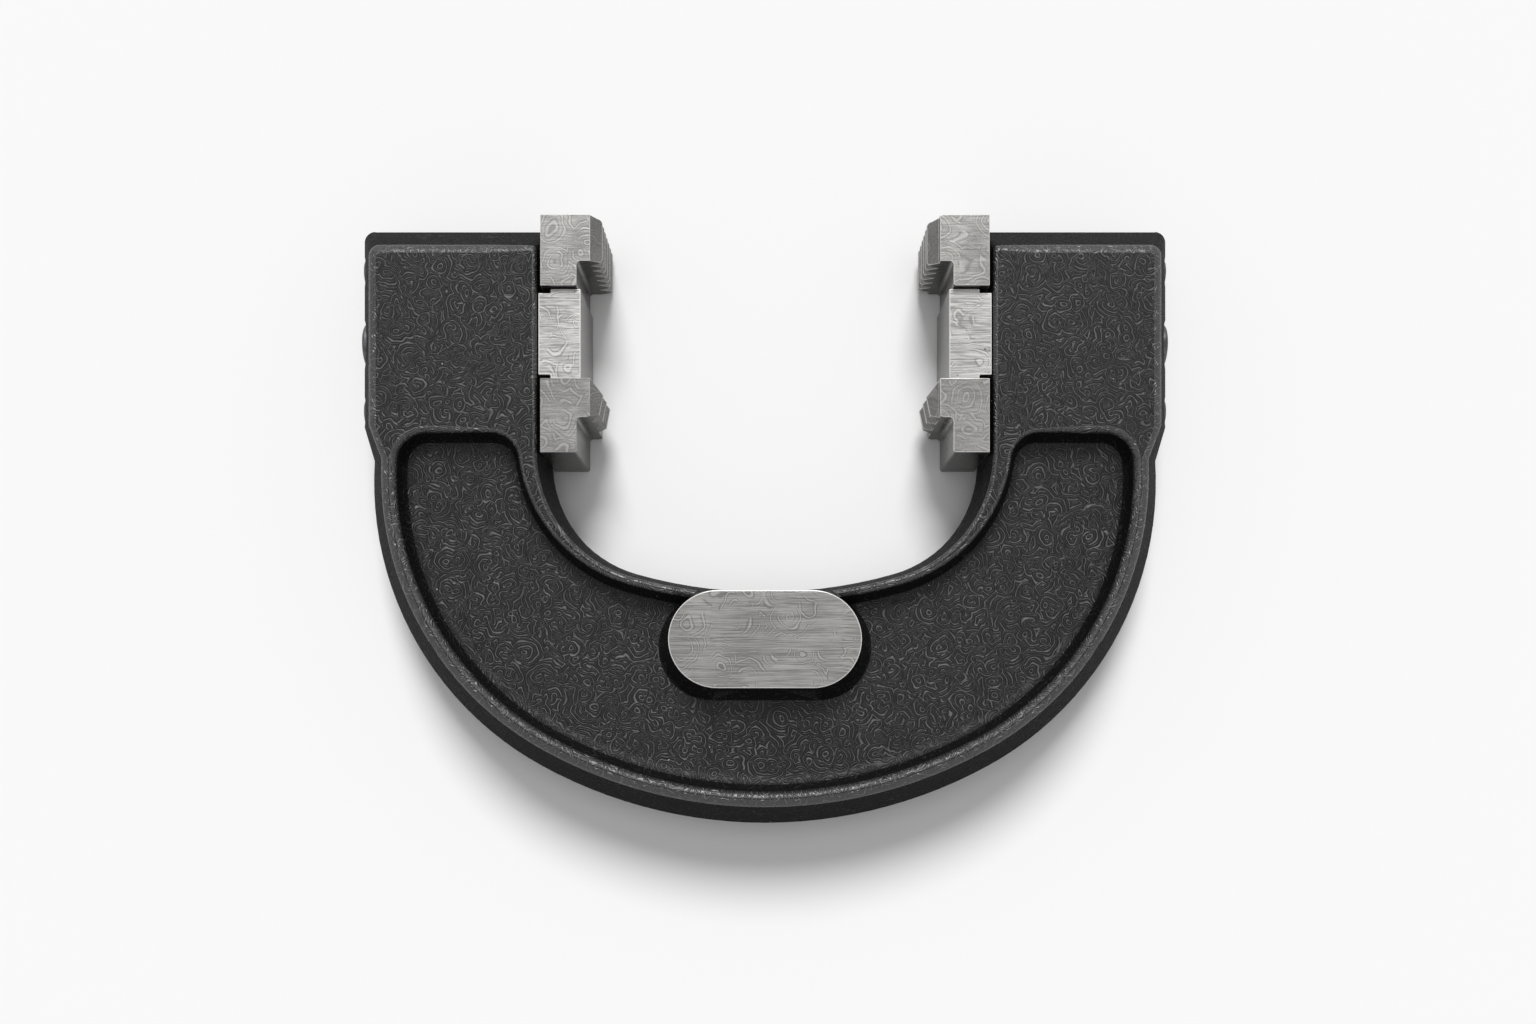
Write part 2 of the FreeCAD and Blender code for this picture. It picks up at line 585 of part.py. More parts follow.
def build_anvil(family, side):
    """A thread anvil with its shank and the flat for its locking pad.

    The ridges on the right lie half a pitch further back than those on the left, as a single-start
    thread asks of two anvils that face each other.
    """
    label = f"{family}_anvil_{SIDE_NAMES[side]}"
    body = new_body(label)
    outline = go_outline() if family == "go" else no_go_outline()
    sketch = new_sketch(body, f"{label}_outline", "front", "derived.anvil_back")
    closed_outline(sketch, *to_side(side, *outline))
    pad(body, sketch, "sizes.anvil_depth")

    height = f"sizes.{family}_shank_height"
    root = "sizes.shank_diameter / 2"
    shank = new_sketch(body, f"{label}_shank", "side", f"{side} * (sizes.seat_half_gap - {root})")
    circle_at(shank, height, "derived.middle", root)
    pad(body, shank, f"sizes.shank_length + {root}", back=side < 0)
    flat = new_sketch(body, f"{label}_flat", "front", "derived.flat_level")
    corners = box_corners("derived.flat_start", f"{height} - sizes.shank_diameter",
                          "derived.flat_end", f"{height} + sizes.shank_diameter")
    closed_outline(flat, *to_side(side, corners, {}))
    pocket(body, flat)

    spacing = 1 if family == "go" else 2
    tip = "derived.ridge_tip" if family == "go" else "(derived.ridge_tip - sizes.no_go_step)"
    first = 0.5 if side < 0 else 1.0
    room = value("sizes.anvil_depth / sizes.thread_pitch") - first - 0.5
    count = int(room / spacing + ROUNDING) + 1
    if family == "no_go":
        count = min(count, int(value("sizes.no_go_ridges")))
    cut_grooves(body, label, side, tip, [first + spacing * number for number in range(count)], spacing)


def build_block(side):
    """The clamp block between two anvils, with its tongue and its tapped hole."""
    label = f"clamp_block_{SIDE_NAMES[side]}"
    body = new_body(label)
    low = "sizes.block_middle - sizes.block_height / 2"
    high = "sizes.block_middle + sizes.block_height / 2"
    tongue_low = "sizes.block_middle - sizes.tongue_height / 2"
    tongue_high = "sizes.block_middle + sizes.tongue_height / 2"
    corners = [
        ("sizes.block_face", low),
        ("sizes.block_shoulder", low),
        ("sizes.block_shoulder", tongue_low),
        ("derived.keyway_floor", tongue_low),
        ("derived.keyway_floor", tongue_high),
        ("sizes.block_shoulder", tongue_high),
        ("sizes.block_shoulder", high),
        ("sizes.block_face", high),
    ]
    sketch = new_sketch(body, f"{label}_outline", "front", "derived.block_back")
    closed_outline(sketch, *to_side(side, corners, {}))
    pad(body, sketch, "sizes.block_depth")
    hole = new_sketch(body, f"{label}_hole", "side", f"{side} * derived.keyway_floor")
    circle_at(hole, "sizes.block_middle", "derived.middle", "sizes.clamp_diameter / 2")
    pocket(body, hole, "sizes.clamp_engagement + sizes.clamp_hole_spare", along=side < 0)


def build_screw(label, profile, top, across, depth, place, turn):
    """A hex socket screw, turned about its own axis from its tip and then put in its hole.

    profile holds the corners of its half section, top is its length, and across and depth are the
    socket's. place is where its tip lies, and turn takes its axis into the hole.
    """
    body = new_body(label)
    section = new_sketch(body, f"{label}_section", "top", "0")
    closed_outline(section, profile)
    turned = body.newObject("PartDesign::Revolution", f"{label}_turned")
    turned.Profile = section
    turned.ReferenceAxis = (section, ["V_Axis"])
    turned.Angle = 360
    socket = new_sketch(body, f"{label}_socket", "front", top)
    reach = f"({across} / 2 / cos(30))"
    corners = [(f"{reach} * cos({60 * number})", f"{reach} * sin({60 * number})") for number in range(6)]
    closed_outline(socket, corners)
    pocket(body, socket, depth)
    body.Placement = FreeCAD.Placement(FreeCAD.Vector(0, 0, 0), turn)
    for axis, text in zip("xyz", place):
        body.setExpression(f".Placement.Base.{axis}", text)


def set_screw_profile(radius, length):
    """Half section of a headless screw with chamfered ends."""
    cut = "sizes.screw_chamfer"
    return [("0", "0"), (f"{radius} - {cut}", "0"), (radius, cut), (radius, f"{length} - {cut}"),
            (f"{radius} - {cut}", length), ("0", length)]


def build_adjuster(family, side):
    """The screw behind an anvil's shank, which sets how far the anvil stands out."""
    radius = "(sizes.adjuster_diameter / 2 - sizes.thread_gap)"
    length = "sizes.adjuster_length"
    place = (f"{side} * derived.bore_end", f"sizes.{family}_shank_height", "derived.middle")
    build_screw(f"{family}_adjuster_{SIDE_NAMES[side]}", set_screw_profile(radius, length), length,
                "sizes.adjuster_socket", "sizes.adjuster_socket_depth", place,
                FreeCAD.Rotation(FreeCAD.Vector(0, 1, 0), 90 * side))


def build_lock(family, side):
    """The locking screw in the arm's back and the soft pad that it presses on the shank's flat."""
    radius = "(sizes.lock_diameter / 2 - sizes.thread_gap)"
    across = (f"{side} * derived.lock_place", f"sizes.{family}_shank_height")
    build_screw(f"{family}_lock_screw_{SIDE_NAMES[side]}",
                set_screw_profile(radius, "derived.lock_length"), "derived.lock_length",
                "sizes.lock_socket", "sizes.lock_socket_depth", across + ("derived.pad_level",),
                FreeCAD.Rotation(FreeCAD.Vector(1, 0, 0), 180))
    label = f"{family}_lock_pad_{SIDE_NAMES[side]}"
    slug = doc.addObject("Part::Cylinder", label)
    slug.setExpression("Radius", radius)
    slug.setExpression("Height", "sizes.pad_thickness")
    for axis, text in zip("xyz", across + ("derived.pad_level",)):
        slug.setExpression(f".Placement.Base.{axis}", text)
    SOLIDS.append(slug)


def build_clamp_screw(side):
    """The socket head screw that draws a clamp block into its keyway."""
    radius = "(sizes.clamp_diameter / 2 - sizes.thread_gap)"
    head = "(sizes.clamp_head_diameter / 2)"
    seat = "derived.clamp_length"
    top = "(derived.clamp_length + sizes.clamp_head_height)"
    cut = "sizes.screw_chamfer"
    profile = [("0", "0"), (f"{radius} - {cut}", "0"), (radius, cut), (radius, seat), (head, seat),
               (head, f"{top} - {cut}"), (f"{head} - {cut}", top), ("0", top)]
    place = (f"{side} * derived.clamp_tip", "sizes.block_middle", "derived.middle")
    build_screw(f"clamp_screw_{SIDE_NAMES[side]}", profile, top, "sizes.clamp_socket",
                "sizes.clamp_socket_depth", place, FreeCAD.Rotation(FreeCAD.Vector(0, 1, 0), 90 * side))


fill_sheets()
build_frame()
build_plate()
for arm in SIDE_NAMES:
    build_block(arm)
    build_clamp_screw(arm)
    for kind_of_anvil in ("go", "no_go"):
        build_anvil(kind_of_anvil, arm)
        build_adjuster(kind_of_anvil, arm)
        build_lock(kind_of_anvil, arm)

doc.recompute()
for item in doc.Objects:
    if "Invalid" in item.State or "Error" in item.State:
        raise ValueError(f"{item.Name} is {item.State}")
os.makedirs("parts", exist_ok=True)
for solid in SOLIDS:
    if solid.Shape.isNull() or not solid.Shape.isValid():
        raise ValueError(f"{solid.Label} has no valid shape")
    solid.Shape.exportStep(f"parts/{solid.Label}.step")
    print(solid.Label, len(solid.Shape.Solids), round(solid.Shape.Volume, 1))
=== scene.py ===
"""Looks of an adjustable thread gauge: black wrinkle enamel, ground anvils and blocks, a brushed plate.

Every piece is dressed from the frame's own solid: a merged copy whose sharp edges are broken the way
the real edges are. Lengths are in metres.
"""

import json
import math

import bmesh
import bpy
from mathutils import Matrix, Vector

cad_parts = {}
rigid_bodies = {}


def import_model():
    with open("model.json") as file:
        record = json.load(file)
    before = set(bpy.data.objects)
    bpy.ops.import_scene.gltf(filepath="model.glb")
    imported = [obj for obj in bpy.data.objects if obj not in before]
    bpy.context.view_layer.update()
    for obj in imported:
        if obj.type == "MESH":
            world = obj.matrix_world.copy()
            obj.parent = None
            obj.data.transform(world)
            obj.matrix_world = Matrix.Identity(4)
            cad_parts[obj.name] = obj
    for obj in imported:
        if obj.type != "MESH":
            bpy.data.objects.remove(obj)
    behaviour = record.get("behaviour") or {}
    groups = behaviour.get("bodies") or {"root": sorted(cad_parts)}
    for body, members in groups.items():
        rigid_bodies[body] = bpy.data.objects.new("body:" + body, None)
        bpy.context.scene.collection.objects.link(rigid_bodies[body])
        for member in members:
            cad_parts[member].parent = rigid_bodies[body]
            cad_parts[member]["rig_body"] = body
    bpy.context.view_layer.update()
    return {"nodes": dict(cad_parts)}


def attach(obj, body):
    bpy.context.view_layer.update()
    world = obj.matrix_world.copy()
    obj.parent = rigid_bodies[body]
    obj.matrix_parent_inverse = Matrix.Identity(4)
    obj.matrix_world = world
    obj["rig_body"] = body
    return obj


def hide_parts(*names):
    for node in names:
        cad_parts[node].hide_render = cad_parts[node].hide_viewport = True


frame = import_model()

bl_info = {
    "name": "Thread gauge looks",
    "version": (1, 0, 0),
    "blender": (4, 5, 0),
    "location": "View3D > Sidebar > Gauge",
    "description": "Dresses an adjustable thread gauge in its finishes and sets its studio",
    "category": "Object",
}

MM = 0.001
SIDES = ("left", "right")
FAMILIES = ("go", "no_go")

# How the solids' triangles are merged, their edges told apart and rounded, and their normals weighted.
MERGE_DISTANCE = 0.004 * MM
LEVEL_SLACK = 0.02 * MM
FLAT_ANGLE = math.radians(0.4)
BAND_ANGLE = math.radians(10)
SHARP_ANGLE = math.radians(28)
CORNER_ANGLE = 2 * SHARP_ANGLE
EDGE_SEGMENTS = 2
ROUND_SEGMENTS = 4
MOST_CORNERS = 4
ROUNDED_SLOT = 1
NORMAL_WEIGHT = 100

# The Z part of a face's normal: a steep side has less than the first, a level face more than the second.
STEEP = 0.80
LEVEL = 0.97

# Places on the casting that decide how far each of its edges is rounded. X is counted from the middle.
# Z of the back and front face, and of the parting band's two edges.
FACES = (0.0, 20.5 * MM)
BAND = (8.75 * MM, 11.75 * MM)
# The arms: Y of their start, of their inner edges' full rounding and of their tips.
ARM_START = 18.0 * MM
ARM_INNER_END = 30.0 * MM
ARM_TIP = 53.0 * MM
# X between which the rounding changes across an arm, X of its outer end and Y where that end stops.
ARM_ACROSS = (43.0 * MM, 50.0 * MM)
ARM_CAP = 72.0 * MM
WAIST = 11.0 * MM
# The recess's upper edge: its Y, and X between which its rounding changes.
RECESS_TOP = 16.2 * MM
RECESS_ACROSS = (50.5 * MM, 60.0 * MM)
# The ellipse that parts the inner rim from the outer: its half width, its half height, Y of its middle.
RIM_MIDDLE = (57.0 * MM, 42.0 * MM, 10.0 * MM)
# The plate's boss: Y of its middle, and how far it reaches along X and Y.
PLATE_MIDDLE = -21.3 * MM
PLATE_REACH = (17.6 * MM, 9.0 * MM)
# The locking holes in the back: their X, the Y of each, and how far their edges reach.
LOCK_HOLES = (49.2 * MM, (47.5 * MM, 21.5 * MM), 3.0 * MM)
# The holes in the outer ends: the Y of each and how far its edge reaches.
END_HOLES = ((47.5 * MM, 4.0 * MM), (21.5 * MM, 4.0 * MM), (33.975 * MM, 5.6 * MM))
# An edge longer than the first is divided into steps of about the second.
LONG_EDGE = 3.0 * MM
SHORT_STEP = 1.5 * MM
# How far from the front or back face a rounding still counts as rubbed and gets the lighter rubbed
# colour, partly a painted highlight.
RUB_REACH = 2.0 * MM

# Noises: their scale in features a metre, detail and roughness. Most values lie in NOISE_RANGE.
NOISE_RANGE = (0.3, 0.7)
ENAMEL_GRAIN = (3600.0, 2.0, 0.7)
CREST_HIGHLIGHT_FADING = (190.0, 3.0, 0.6)
RUBS = (1900.0, 4.0, 0.75)
RUB_HIGHLIGHT_PATCHES = (300.0, 3.0, 0.6)
STEEL_GRAIN = (4200.0, 2.0, 0.6)
GROUND_CLOUD = (140.0, 3.0, 0.55)
GROUND_PATCHES = (330.0, 1.0, 0.5)
BRUSHED_WANDER = (90.0, 2.0, 0.5)
BRUSHED_CLOUD = (110.0, 3.0, 0.55)
BRUSHED_PATCHES = (260.0, 1.0, 0.5)
BLACKENED_CLOUD = (700.0, 3.0, 0.6)

# Noises drawn out into lines or rings: their scales along the three axes, then scale, detail, roughness.
SCRATCHES = ((300.0, 5200.0, 5200.0), (1.0, 3.0, 0.65))
BROAD_STROKES = ((60.0, 900.0, 900.0), (1.0, 2.0, 0.5))
TOOL_RINGS = ((200.0, 200.0, 9000.0), (1.0, 2.0, 0.6))
STROKE_NOISE = (1.0, 3.0, 0.7)

# Curls: how large and how strong their bends are, in ring spacings, the bends' detail and roughness, and
# where the groove beside a crest opens and closes, in widths of the crest.
BEND_SIZE = 3.2
BEND_REACH = 2.4
BEND_TEXTURE = (1.0, 0.5)
GROOVE_OPENING = (0.85, 1.4)
GROOVE_CLOSING = (1.6, 2.5)

# The enamel's two families of curls, which share the casting between them: how far apart their centres
# and their rings are, in curl spacings, their seed, and how the mask shows them.
ENAMEL_CURLS = ((4.6, 1.0, 0.0, (0.49, 0.52, 0.0, 1.0)),
                (2.9, 0.9, 0.37, (0.44, 0.47, 1.0, 0.0)))
CREST_WIDTH = 0.35
MASK_SIZE = 2.6
MASK_TEXTURE = (1.5, 0.5)

# The enamel in its three states: name, specular share, roughness, strength of its relief, and whether
# its curls are flat ones, for faces that look along Z, or solid ones.
ENAMELS = (("black_wrinkle_enamel", 0.25, 0.44, 0.6, "2D"),
           ("rubbed_enamel", 0.70, 0.36, 0.15, "2D"),
           ("dull_enamel", 0.04, 0.60, 0.6, "3D"))
# Shades of the enamel's grain, the faintest painted highlight on a crest, and the noises' values where
# rubs, partly a painted highlight, and specks show.
ENAMEL_DARK = 0.30
ENAMEL_LIGHT = 1.8
ENAMEL_GRAIN_RANGE = (0.25, 0.75)
ENAMEL_IOR = 1.5
FAINTEST_CREST_HIGHLIGHT = 0.35
RUB_HIGHLIGHT_RANGE = (0.34, 0.60)
RUB_HIGHLIGHT_PATCH_RANGE = (0.26, 0.55)
ROUGHNESS_SWING = 0.06
# How far the painted shade covers the enamel on its steep faces.
SIDE_SHADE_COVER = 0.85
SPECK_SCALE = 200.0
SPECK_EDGE = (0.018, 0.035)
SPECK_COLOUR = (0.32, 0.32, 0.31)
# Depths and strengths of its relief.
GRAIN_DEPTH = 0.016 * MM
RUB_RELIEF = 0.6
WRINKLE_DEPTH = 0.085 * MM
WRINKLE_STRENGTH = 0.9
GROOVE_RELIEF = 0.7

# Bare steel: how far the painted shade on its sides covers it and how dark that is, how far the painted
# highlight on its broken edges covers it, how metallic its faces and edges are, its roughness, and the
# depth and strength of its scratches.
STEEL_SIDE_SHADE_COVER = 0.75
STEEL_SIDE_SHADE = 0.55
STEEL_EDGE_HIGHLIGHT_COVER = 0.9
STEEL_METALLIC = (0.85, 0.15)
STEEL_ROUGHNESS = (0.26, 0.36)
SCRATCH_DEPTH = 0.005 * MM
SCRATCH_STRENGTH = 0.6

# Ground steel: how far apart its curls' centres and rings are, their seed and the width of their crests,
# then its shades, and how far each noise swings its tone.
GROUND_CURLS = (5.6 * MM, 1.15 * MM, 0.11, 0.27)
GROUND_PATCH_RANGE = (0.40, 0.48)
GROUND_DARK = 0.72
GROUND_LIGHT = 1.30
GROUND_CREST = 1.12
GROUND_CLOUD_SWING = 0.30
SCRATCH_SWING = 0.28
STEEL_GRAIN_SWING = 0.25
CURL_DEPTH = 0.004 * MM
# Pale colour painted on the anvils' broken edges as their highlight.
ANVIL_EDGE_HIGHLIGHT = (0.72, 0.71, 0.69)
ANVIL_SWIRLS = 0.85

# Brushed steel: the same, how far its strokes wander, their length and width, and its pits.
BRUSHED_CURLS = (5.6 * MM, 1.25 * MM, 0.23, 0.20)
BRUSHED_PATCH_RANGE = (0.45, 0.53)
BRUSHED_DARK = 0.62
BRUSHED_LIGHT = 1.38
STROKE_SWING = 0.50
BROAD_STROKE_SWING = 0.3 * STROKE_SWING
BRUSHED_CLOUD_SWING = 0.18
BRUSHED_CURL_SWING = 0.65
WANDER_REACH = 0.4 * MM
# Pale colour painted on the blocks' broken edges as their highlight.
BLOCK_EDGE_HIGHLIGHT = (0.80, 0.79, 0.77)
BLOCK_STROKE = (5.0 * MM, 0.2 * MM)
BLOCK_PITS = 0.9
# Pale colour painted on the plate's broken edge as its highlight.
PLATE_EDGE_HIGHLIGHT = (0.74, 0.73, 0.71)
PLATE_STROKE = (9.0 * MM, 0.11 * MM)
PLATE_PITS = 0.0
PIT_SCALE = 420.0
PIT_CHOICE = (0.6, 0.62)
PIT_EDGE = (0.06, 0.12)
PIT_COLOUR = (0.06, 0.058, 0.055)

# Screws and pads: their shades, finishes and tool marks.
BLACKENED_LIGHT = 2.4
BLACKENED_METALLIC = 0.7
BLACKENED_RANGE = (0.35, 0.7)
BLACKENED_ROUGHNESS = (0.34, 0.5)
BRASS_DARK = 0.7
BRASS_ROUGHNESS = (0.26, 0.42)
TURNED_DEPTH = 0.01 * MM
TURNED_STRENGTH = 0.5

# The stage: where the lamps are, their angles and powers, half the floor's side and how dull it is, and
# the camera's sensor, shift and nearest distance.
KEY_LAMP = ((0.0, 0.70, 0.80), math.radians(21), 2.47)
OVER_LAMP = ((0.0, 0.0, 1.0), math.radians(48), 0.60)
FLOOR_REACH = 3.0
FLOOR_ROUGHNESS = 0.9
SENSOR_WIDTH = 36.0
CAMERA_SHIFT = (0.00195, 0.1354)
CAMERA_NEAR = 0.01


class FrameSettings(bpy.types.PropertyGroup):
    """The enamelled casting."""

    arm_round: bpy.props.FloatProperty(
        name="Arm round", description="Rounding of the arms' face edges",
        default=1.15 * MM, unit="LENGTH")
    arm_inner_round: bpy.props.FloatProperty(
        name="Arm inner round", description="Rounding of those edges beside the anvils",
        default=0.7 * MM, unit="LENGTH")
    outer_round: bpy.props.FloatProperty(
        name="Outer rim round", description="Rounding of the outer rim, which makes it a bead",
        default=1.0 * MM, unit="LENGTH")
    inner_round: bpy.props.FloatProperty(
        name="Inner rim round", description="Rounding of the rim beside the throat",
        default=0.58 * MM, unit="LENGTH")
    back_round: bpy.props.FloatProperty(
        name="Back round", description="Rounding of the edges of the back face",
        default=0.4 * MM, unit="LENGTH")
    seam_round: bpy.props.FloatProperty(
        name="Seam round", description="Rounding of the edges of the parting band",
        default=0.4 * MM, unit="LENGTH")
    hole_round: bpy.props.FloatProperty(
        name="Hole round", description="Rounding of the mouths of the holes",
        default=0.2 * MM, unit="LENGTH")
    enamel: bpy.props.FloatVectorProperty(
        name="Enamel", description="Colour of the black enamel",
        default=(0.014, 0.014, 0.0144), subtype="COLOR")
    # Painted shade: the grooves beside the wrinkles' crests are darkened to this colour.
    groove: bpy.props.FloatVectorProperty(
        name="Wrinkle groove", description="Colour of the grooves beside the wrinkles' crests",
        default=(0.004, 0.004, 0.004), subtype="COLOR")
    # Painted highlight: the wrinkles' crests are lightened to this colour.
    crest: bpy.props.FloatVectorProperty(
        name="Wrinkle crest", description="Colour of the wrinkles' crests",
        default=(0.15, 0.15, 0.148), subtype="COLOR")
    # Rubbed edges: a slightly lighter colour, partly wear and partly a painted highlight on the rims.
    worn_and_highlight: bpy.props.FloatVectorProperty(
        name="Worn edge", description="Colour of the enamel where its edges are rubbed bright",
        default=(0.022, 0.022, 0.0217), subtype="COLOR")
    # Painted shade: the enamel on the steep sides is darkened to this colour, for the light that falls
    # less on them.
    side: bpy.props.FloatVectorProperty(
        name="Side", description="Colour of the enamel on the steep sides, where it is thin and dull",
        default=(0.006, 0.006, 0.006), subtype="COLOR")
    curl_spacing: bpy.props.FloatProperty(
        name="Curl spacing", description="Distance between neighbouring wrinkles",
        default=0.9 * MM, unit="LENGTH")


class SteelSettings(bpy.types.PropertyGroup):
    """The ground and brushed steel pieces."""

    edge_break: bpy.props.FloatProperty(
        name="Edge break", description="Width of the broken edges on anvils and blocks",
        default=0.22 * MM, unit="LENGTH")
    plate_edge: bpy.props.FloatProperty(
        name="Plate edge", description="Width of the broken edge on the plate",
        default=0.18 * MM, unit="LENGTH")
    anvil: bpy.props.FloatVectorProperty(
        name="Anvil steel", description="Colour of the ground anvils",
        default=(0.240, 0.235, 0.228), subtype="COLOR")
    block: bpy.props.FloatVectorProperty(
        name="Block steel", description="Colour of the ground blocks",
        default=(0.360, 0.354, 0.345), subtype="COLOR")
    plate: bpy.props.FloatVectorProperty(
        name="Plate steel", description="Colour of the brushed plate",
        default=(0.260, 0.255, 0.247), subtype="COLOR")


class FastenerSettings(bpy.types.PropertyGroup):
    """Screws and locking pads."""

    edge_break: bpy.props.FloatProperty(
        name="Edge break", description="Width of the broken edges on screws and pads",
        default=0.12 * MM, unit="LENGTH")
    blackened: bpy.props.FloatVectorProperty(
        name="Blackened steel", description="Colour of the blackened screws",
        default=(0.055, 0.055, 0.058), subtype="COLOR")
    brass: bpy.props.FloatVectorProperty(
        name="Brass", description="Colour of the locking pads",
        default=(0.66, 0.47, 0.20), subtype="COLOR")


class StageSettings(bpy.types.PropertyGroup):
    """Camera, lamps and floor."""

    camera_height: bpy.props.FloatProperty(
        name="Camera height", description="Height of the camera over the floor",
        default=286.2 * MM, unit="LENGTH")
    camera_drop: bpy.props.FloatProperty(
        name="Camera drop", description="How far the camera stands towards the bow",
        default=35.83 * MM, unit="LENGTH")
    lens: bpy.props.FloatProperty(
        name="Lens", description="Focal length in millimetres on a 36 mm sensor", default=34.56)
    floor: bpy.props.FloatVectorProperty(
        name="Floor", description="Colour of the floor", default=(0.95, 0.95, 0.95), subtype="COLOR")
    floor_bounce: bpy.props.FloatVectorProperty(
        name="Floor's light", description="Colour of the light that the floor throws on the gauge",
        default=(0.45, 0.45, 0.45), subtype="COLOR")
    sky_light: bpy.props.FloatProperty(
        name="Sky light", description="Strength of the light from all round", default=0.22)
    sky_seen: bpy.props.FloatProperty(
        name="Sky seen", description="Brightness of the background and of its reflections", default=0.95)


def merged_copy(node):
    """A bmesh of a frame node with its loose triangles merged and its flat faces made whole."""
    mesh = frame["nodes"][node].data
    shape = bmesh.new()
    shape.from_mesh(mesh)
    bmesh.ops.remove_doubles(shape, verts=shape.verts, dist=MERGE_DISTANCE)
    bmesh.ops.dissolve_degenerate(shape, edges=shape.edges, dist=MERGE_DISTANCE)
    bmesh.ops.dissolve_limit(shape, angle_limit=FLAT_ANGLE, verts=shape.verts, edges=shape.edges,
                             delimit=set())
    bmesh.ops.recalc_face_normals(shape, faces=shape.faces)
    return shape


def is_sharp(edge, angle=SHARP_ANGLE):
    """Whether two faces meet at more than an angle."""
    return edge.is_manifold and edge.calc_face_angle(0.0) > angle


def break_edges(shape, width):
    """Bevel the sharp edges and note the new faces in their own layer, which the steel finishes read to
    paint a highlight on them.
    """
    edge_wear_and_highlight = shape.faces.layers.float.new("edge_wear_and_highlight")
    result = bmesh.ops.bevel(
        shape, geom=[edge for edge in shape.edges if is_sharp(edge)], offset=width,
        offset_type="OFFSET", affect="EDGES", segments=EDGE_SEGMENTS, profile=0.5, material=-1,
        clamp_overlap=True, loop_slide=True)
    for face in result["faces"]:
        face[edge_wear_and_highlight] = 1.0


def near(value, levels, slack):
    """Whether a value is on one of several levels."""
    return any(abs(value - level) < slack for level in levels)


def between(value, low, high, first, last):
    """Pass from first to last while a value goes from low to high."""
    share = min(1.0, max(0.0, (value - low) / (high - low)))
    return first + (last - first) * share


def face_edge_width(x, y, z, settings):
    """How far an edge in the casting's front or back face is rounded.

    The width changes only along straight stretches and gentle curves, where a bevel can taper.
    """
    if z < LEVEL_SLACK:
        hole_x, hole_ys, reach = LOCK_HOLES
        by_hole = any(math.hypot(x - hole_x, y - hole_y) < reach for hole_y in hole_ys)
        return settings.hole_round if by_hole else settings.back_round
    if x < PLATE_REACH[0] and abs(y - PLATE_MIDDLE) < PLATE_REACH[1] and z > BAND[1]:
        return 0.0
    if y > ARM_START:
        inner = between(y, ARM_START, ARM_INNER_END, settings.inner_round, settings.arm_inner_round)
        return between(x, *ARM_ACROSS, inner, settings.arm_round)
    if abs(y - RECESS_TOP) < LEVEL_SLACK:
        return between(x, *RECESS_ACROSS, settings.inner_round, settings.outer_round)
    across, along, centre = RIM_MIDDLE
    inside = math.hypot(x / across, (y - centre) / along) < 1
    return settings.inner_round if inside else settings.outer_round


def casting_edge_width(edge, settings):
    """How far an edge of the casting is rounded."""
    middle = (edge.verts[0].co + edge.verts[1].co) / 2
    x, y, z = abs(middle.x), middle.y, middle.z
    if all(near(vert.co.z, FACES, LEVEL_SLACK) for vert in edge.verts) and is_sharp(edge):
        return face_edge_width(x, y, z, settings)
    if x > ARM_CAP and any(abs(y - hole_y) < reach for hole_y, reach in END_HOLES):
        return settings.hole_round if is_sharp(edge, CORNER_ANGLE) else 0.0
    in_band = all(near(vert.co.z, BAND, LEVEL_SLACK) for vert in edge.verts)
    by_corner = (x > ARM_CAP and y > WAIST) or (x < ARM_ACROSS[0] and y > ARM_TIP)
    is_seam = is_sharp(edge, BAND_ANGLE) and not is_sharp(edge, CORNER_ANGLE)
    return settings.seam_round if in_band and is_seam and not by_corner else 0.0


def split_long_edges(shape):
    """Divide the long edges of the casting's front and back face, so that a bevel can taper on them."""
    for edge in list(shape.edges):
        length = edge.calc_length()
        flat = all(near(vert.co.z, FACES, LEVEL_SLACK) for vert in edge.verts)
        if flat and length > LONG_EDGE and is_sharp(edge):
            start = edge.verts[0]
            for left in range(round(length / SHORT_STEP), 1, -1):
                _, start = bmesh.utils.edge_split(edge, start, 1.0 / left)


def rounded(shape, width_of, widest):
    """The shape with each edge rounded by its own width, and the new faces noted in their own layer,
    which gets the rubbed colour: partly wear, partly a painted highlight.

    A Bevel modifier takes a width for each edge, so an object with one is made, read and removed. The
    modifier tells its new faces by their material slot.
    """
    weights = shape.edges.layers.float.new("bevel_weight_edge")
    for edge in shape.edges:
        if edge.is_manifold:
            edge[weights] = width_of(edge) / widest
    mesh = bpy.data.meshes.new("rounding")
    shape.to_mesh(mesh)
    shape.free()
    for _ in range(ROUNDED_SLOT + 1):
        mesh.materials.append(None)
    holder = bpy.data.objects.new("rounding", mesh)
    bpy.context.scene.collection.objects.link(holder)
    step = holder.modifiers.new("edges", "BEVEL")
    step.limit_method = "WEIGHT"
    step.width = widest
    step.segments = ROUND_SEGMENTS
    step.material = ROUNDED_SLOT
    step.use_clamp_overlap = False
    graph = bpy.context.evaluated_depsgraph_get()
    baked = bpy.data.meshes.new_from_object(holder.evaluated_get(graph))
    result = bmesh.new()
    result.from_mesh(baked)
    edge_wear_and_highlight = result.faces.layers.float.new("edge_wear_and_highlight")
    for face in result.faces:
        face[edge_wear_and_highlight] = float(face.material_index == ROUNDED_SLOT)
        face.material_index = 0
    large = [face for face in result.faces if len(face.verts) > MOST_CORNERS]
    bmesh.ops.triangulate(result, faces=large, quad_method="BEAUTY", ngon_method="BEAUTY")
    bpy.data.objects.remove(holder)
    bpy.data.meshes.remove(mesh)
    bpy.data.meshes.remove(baked)
    return result


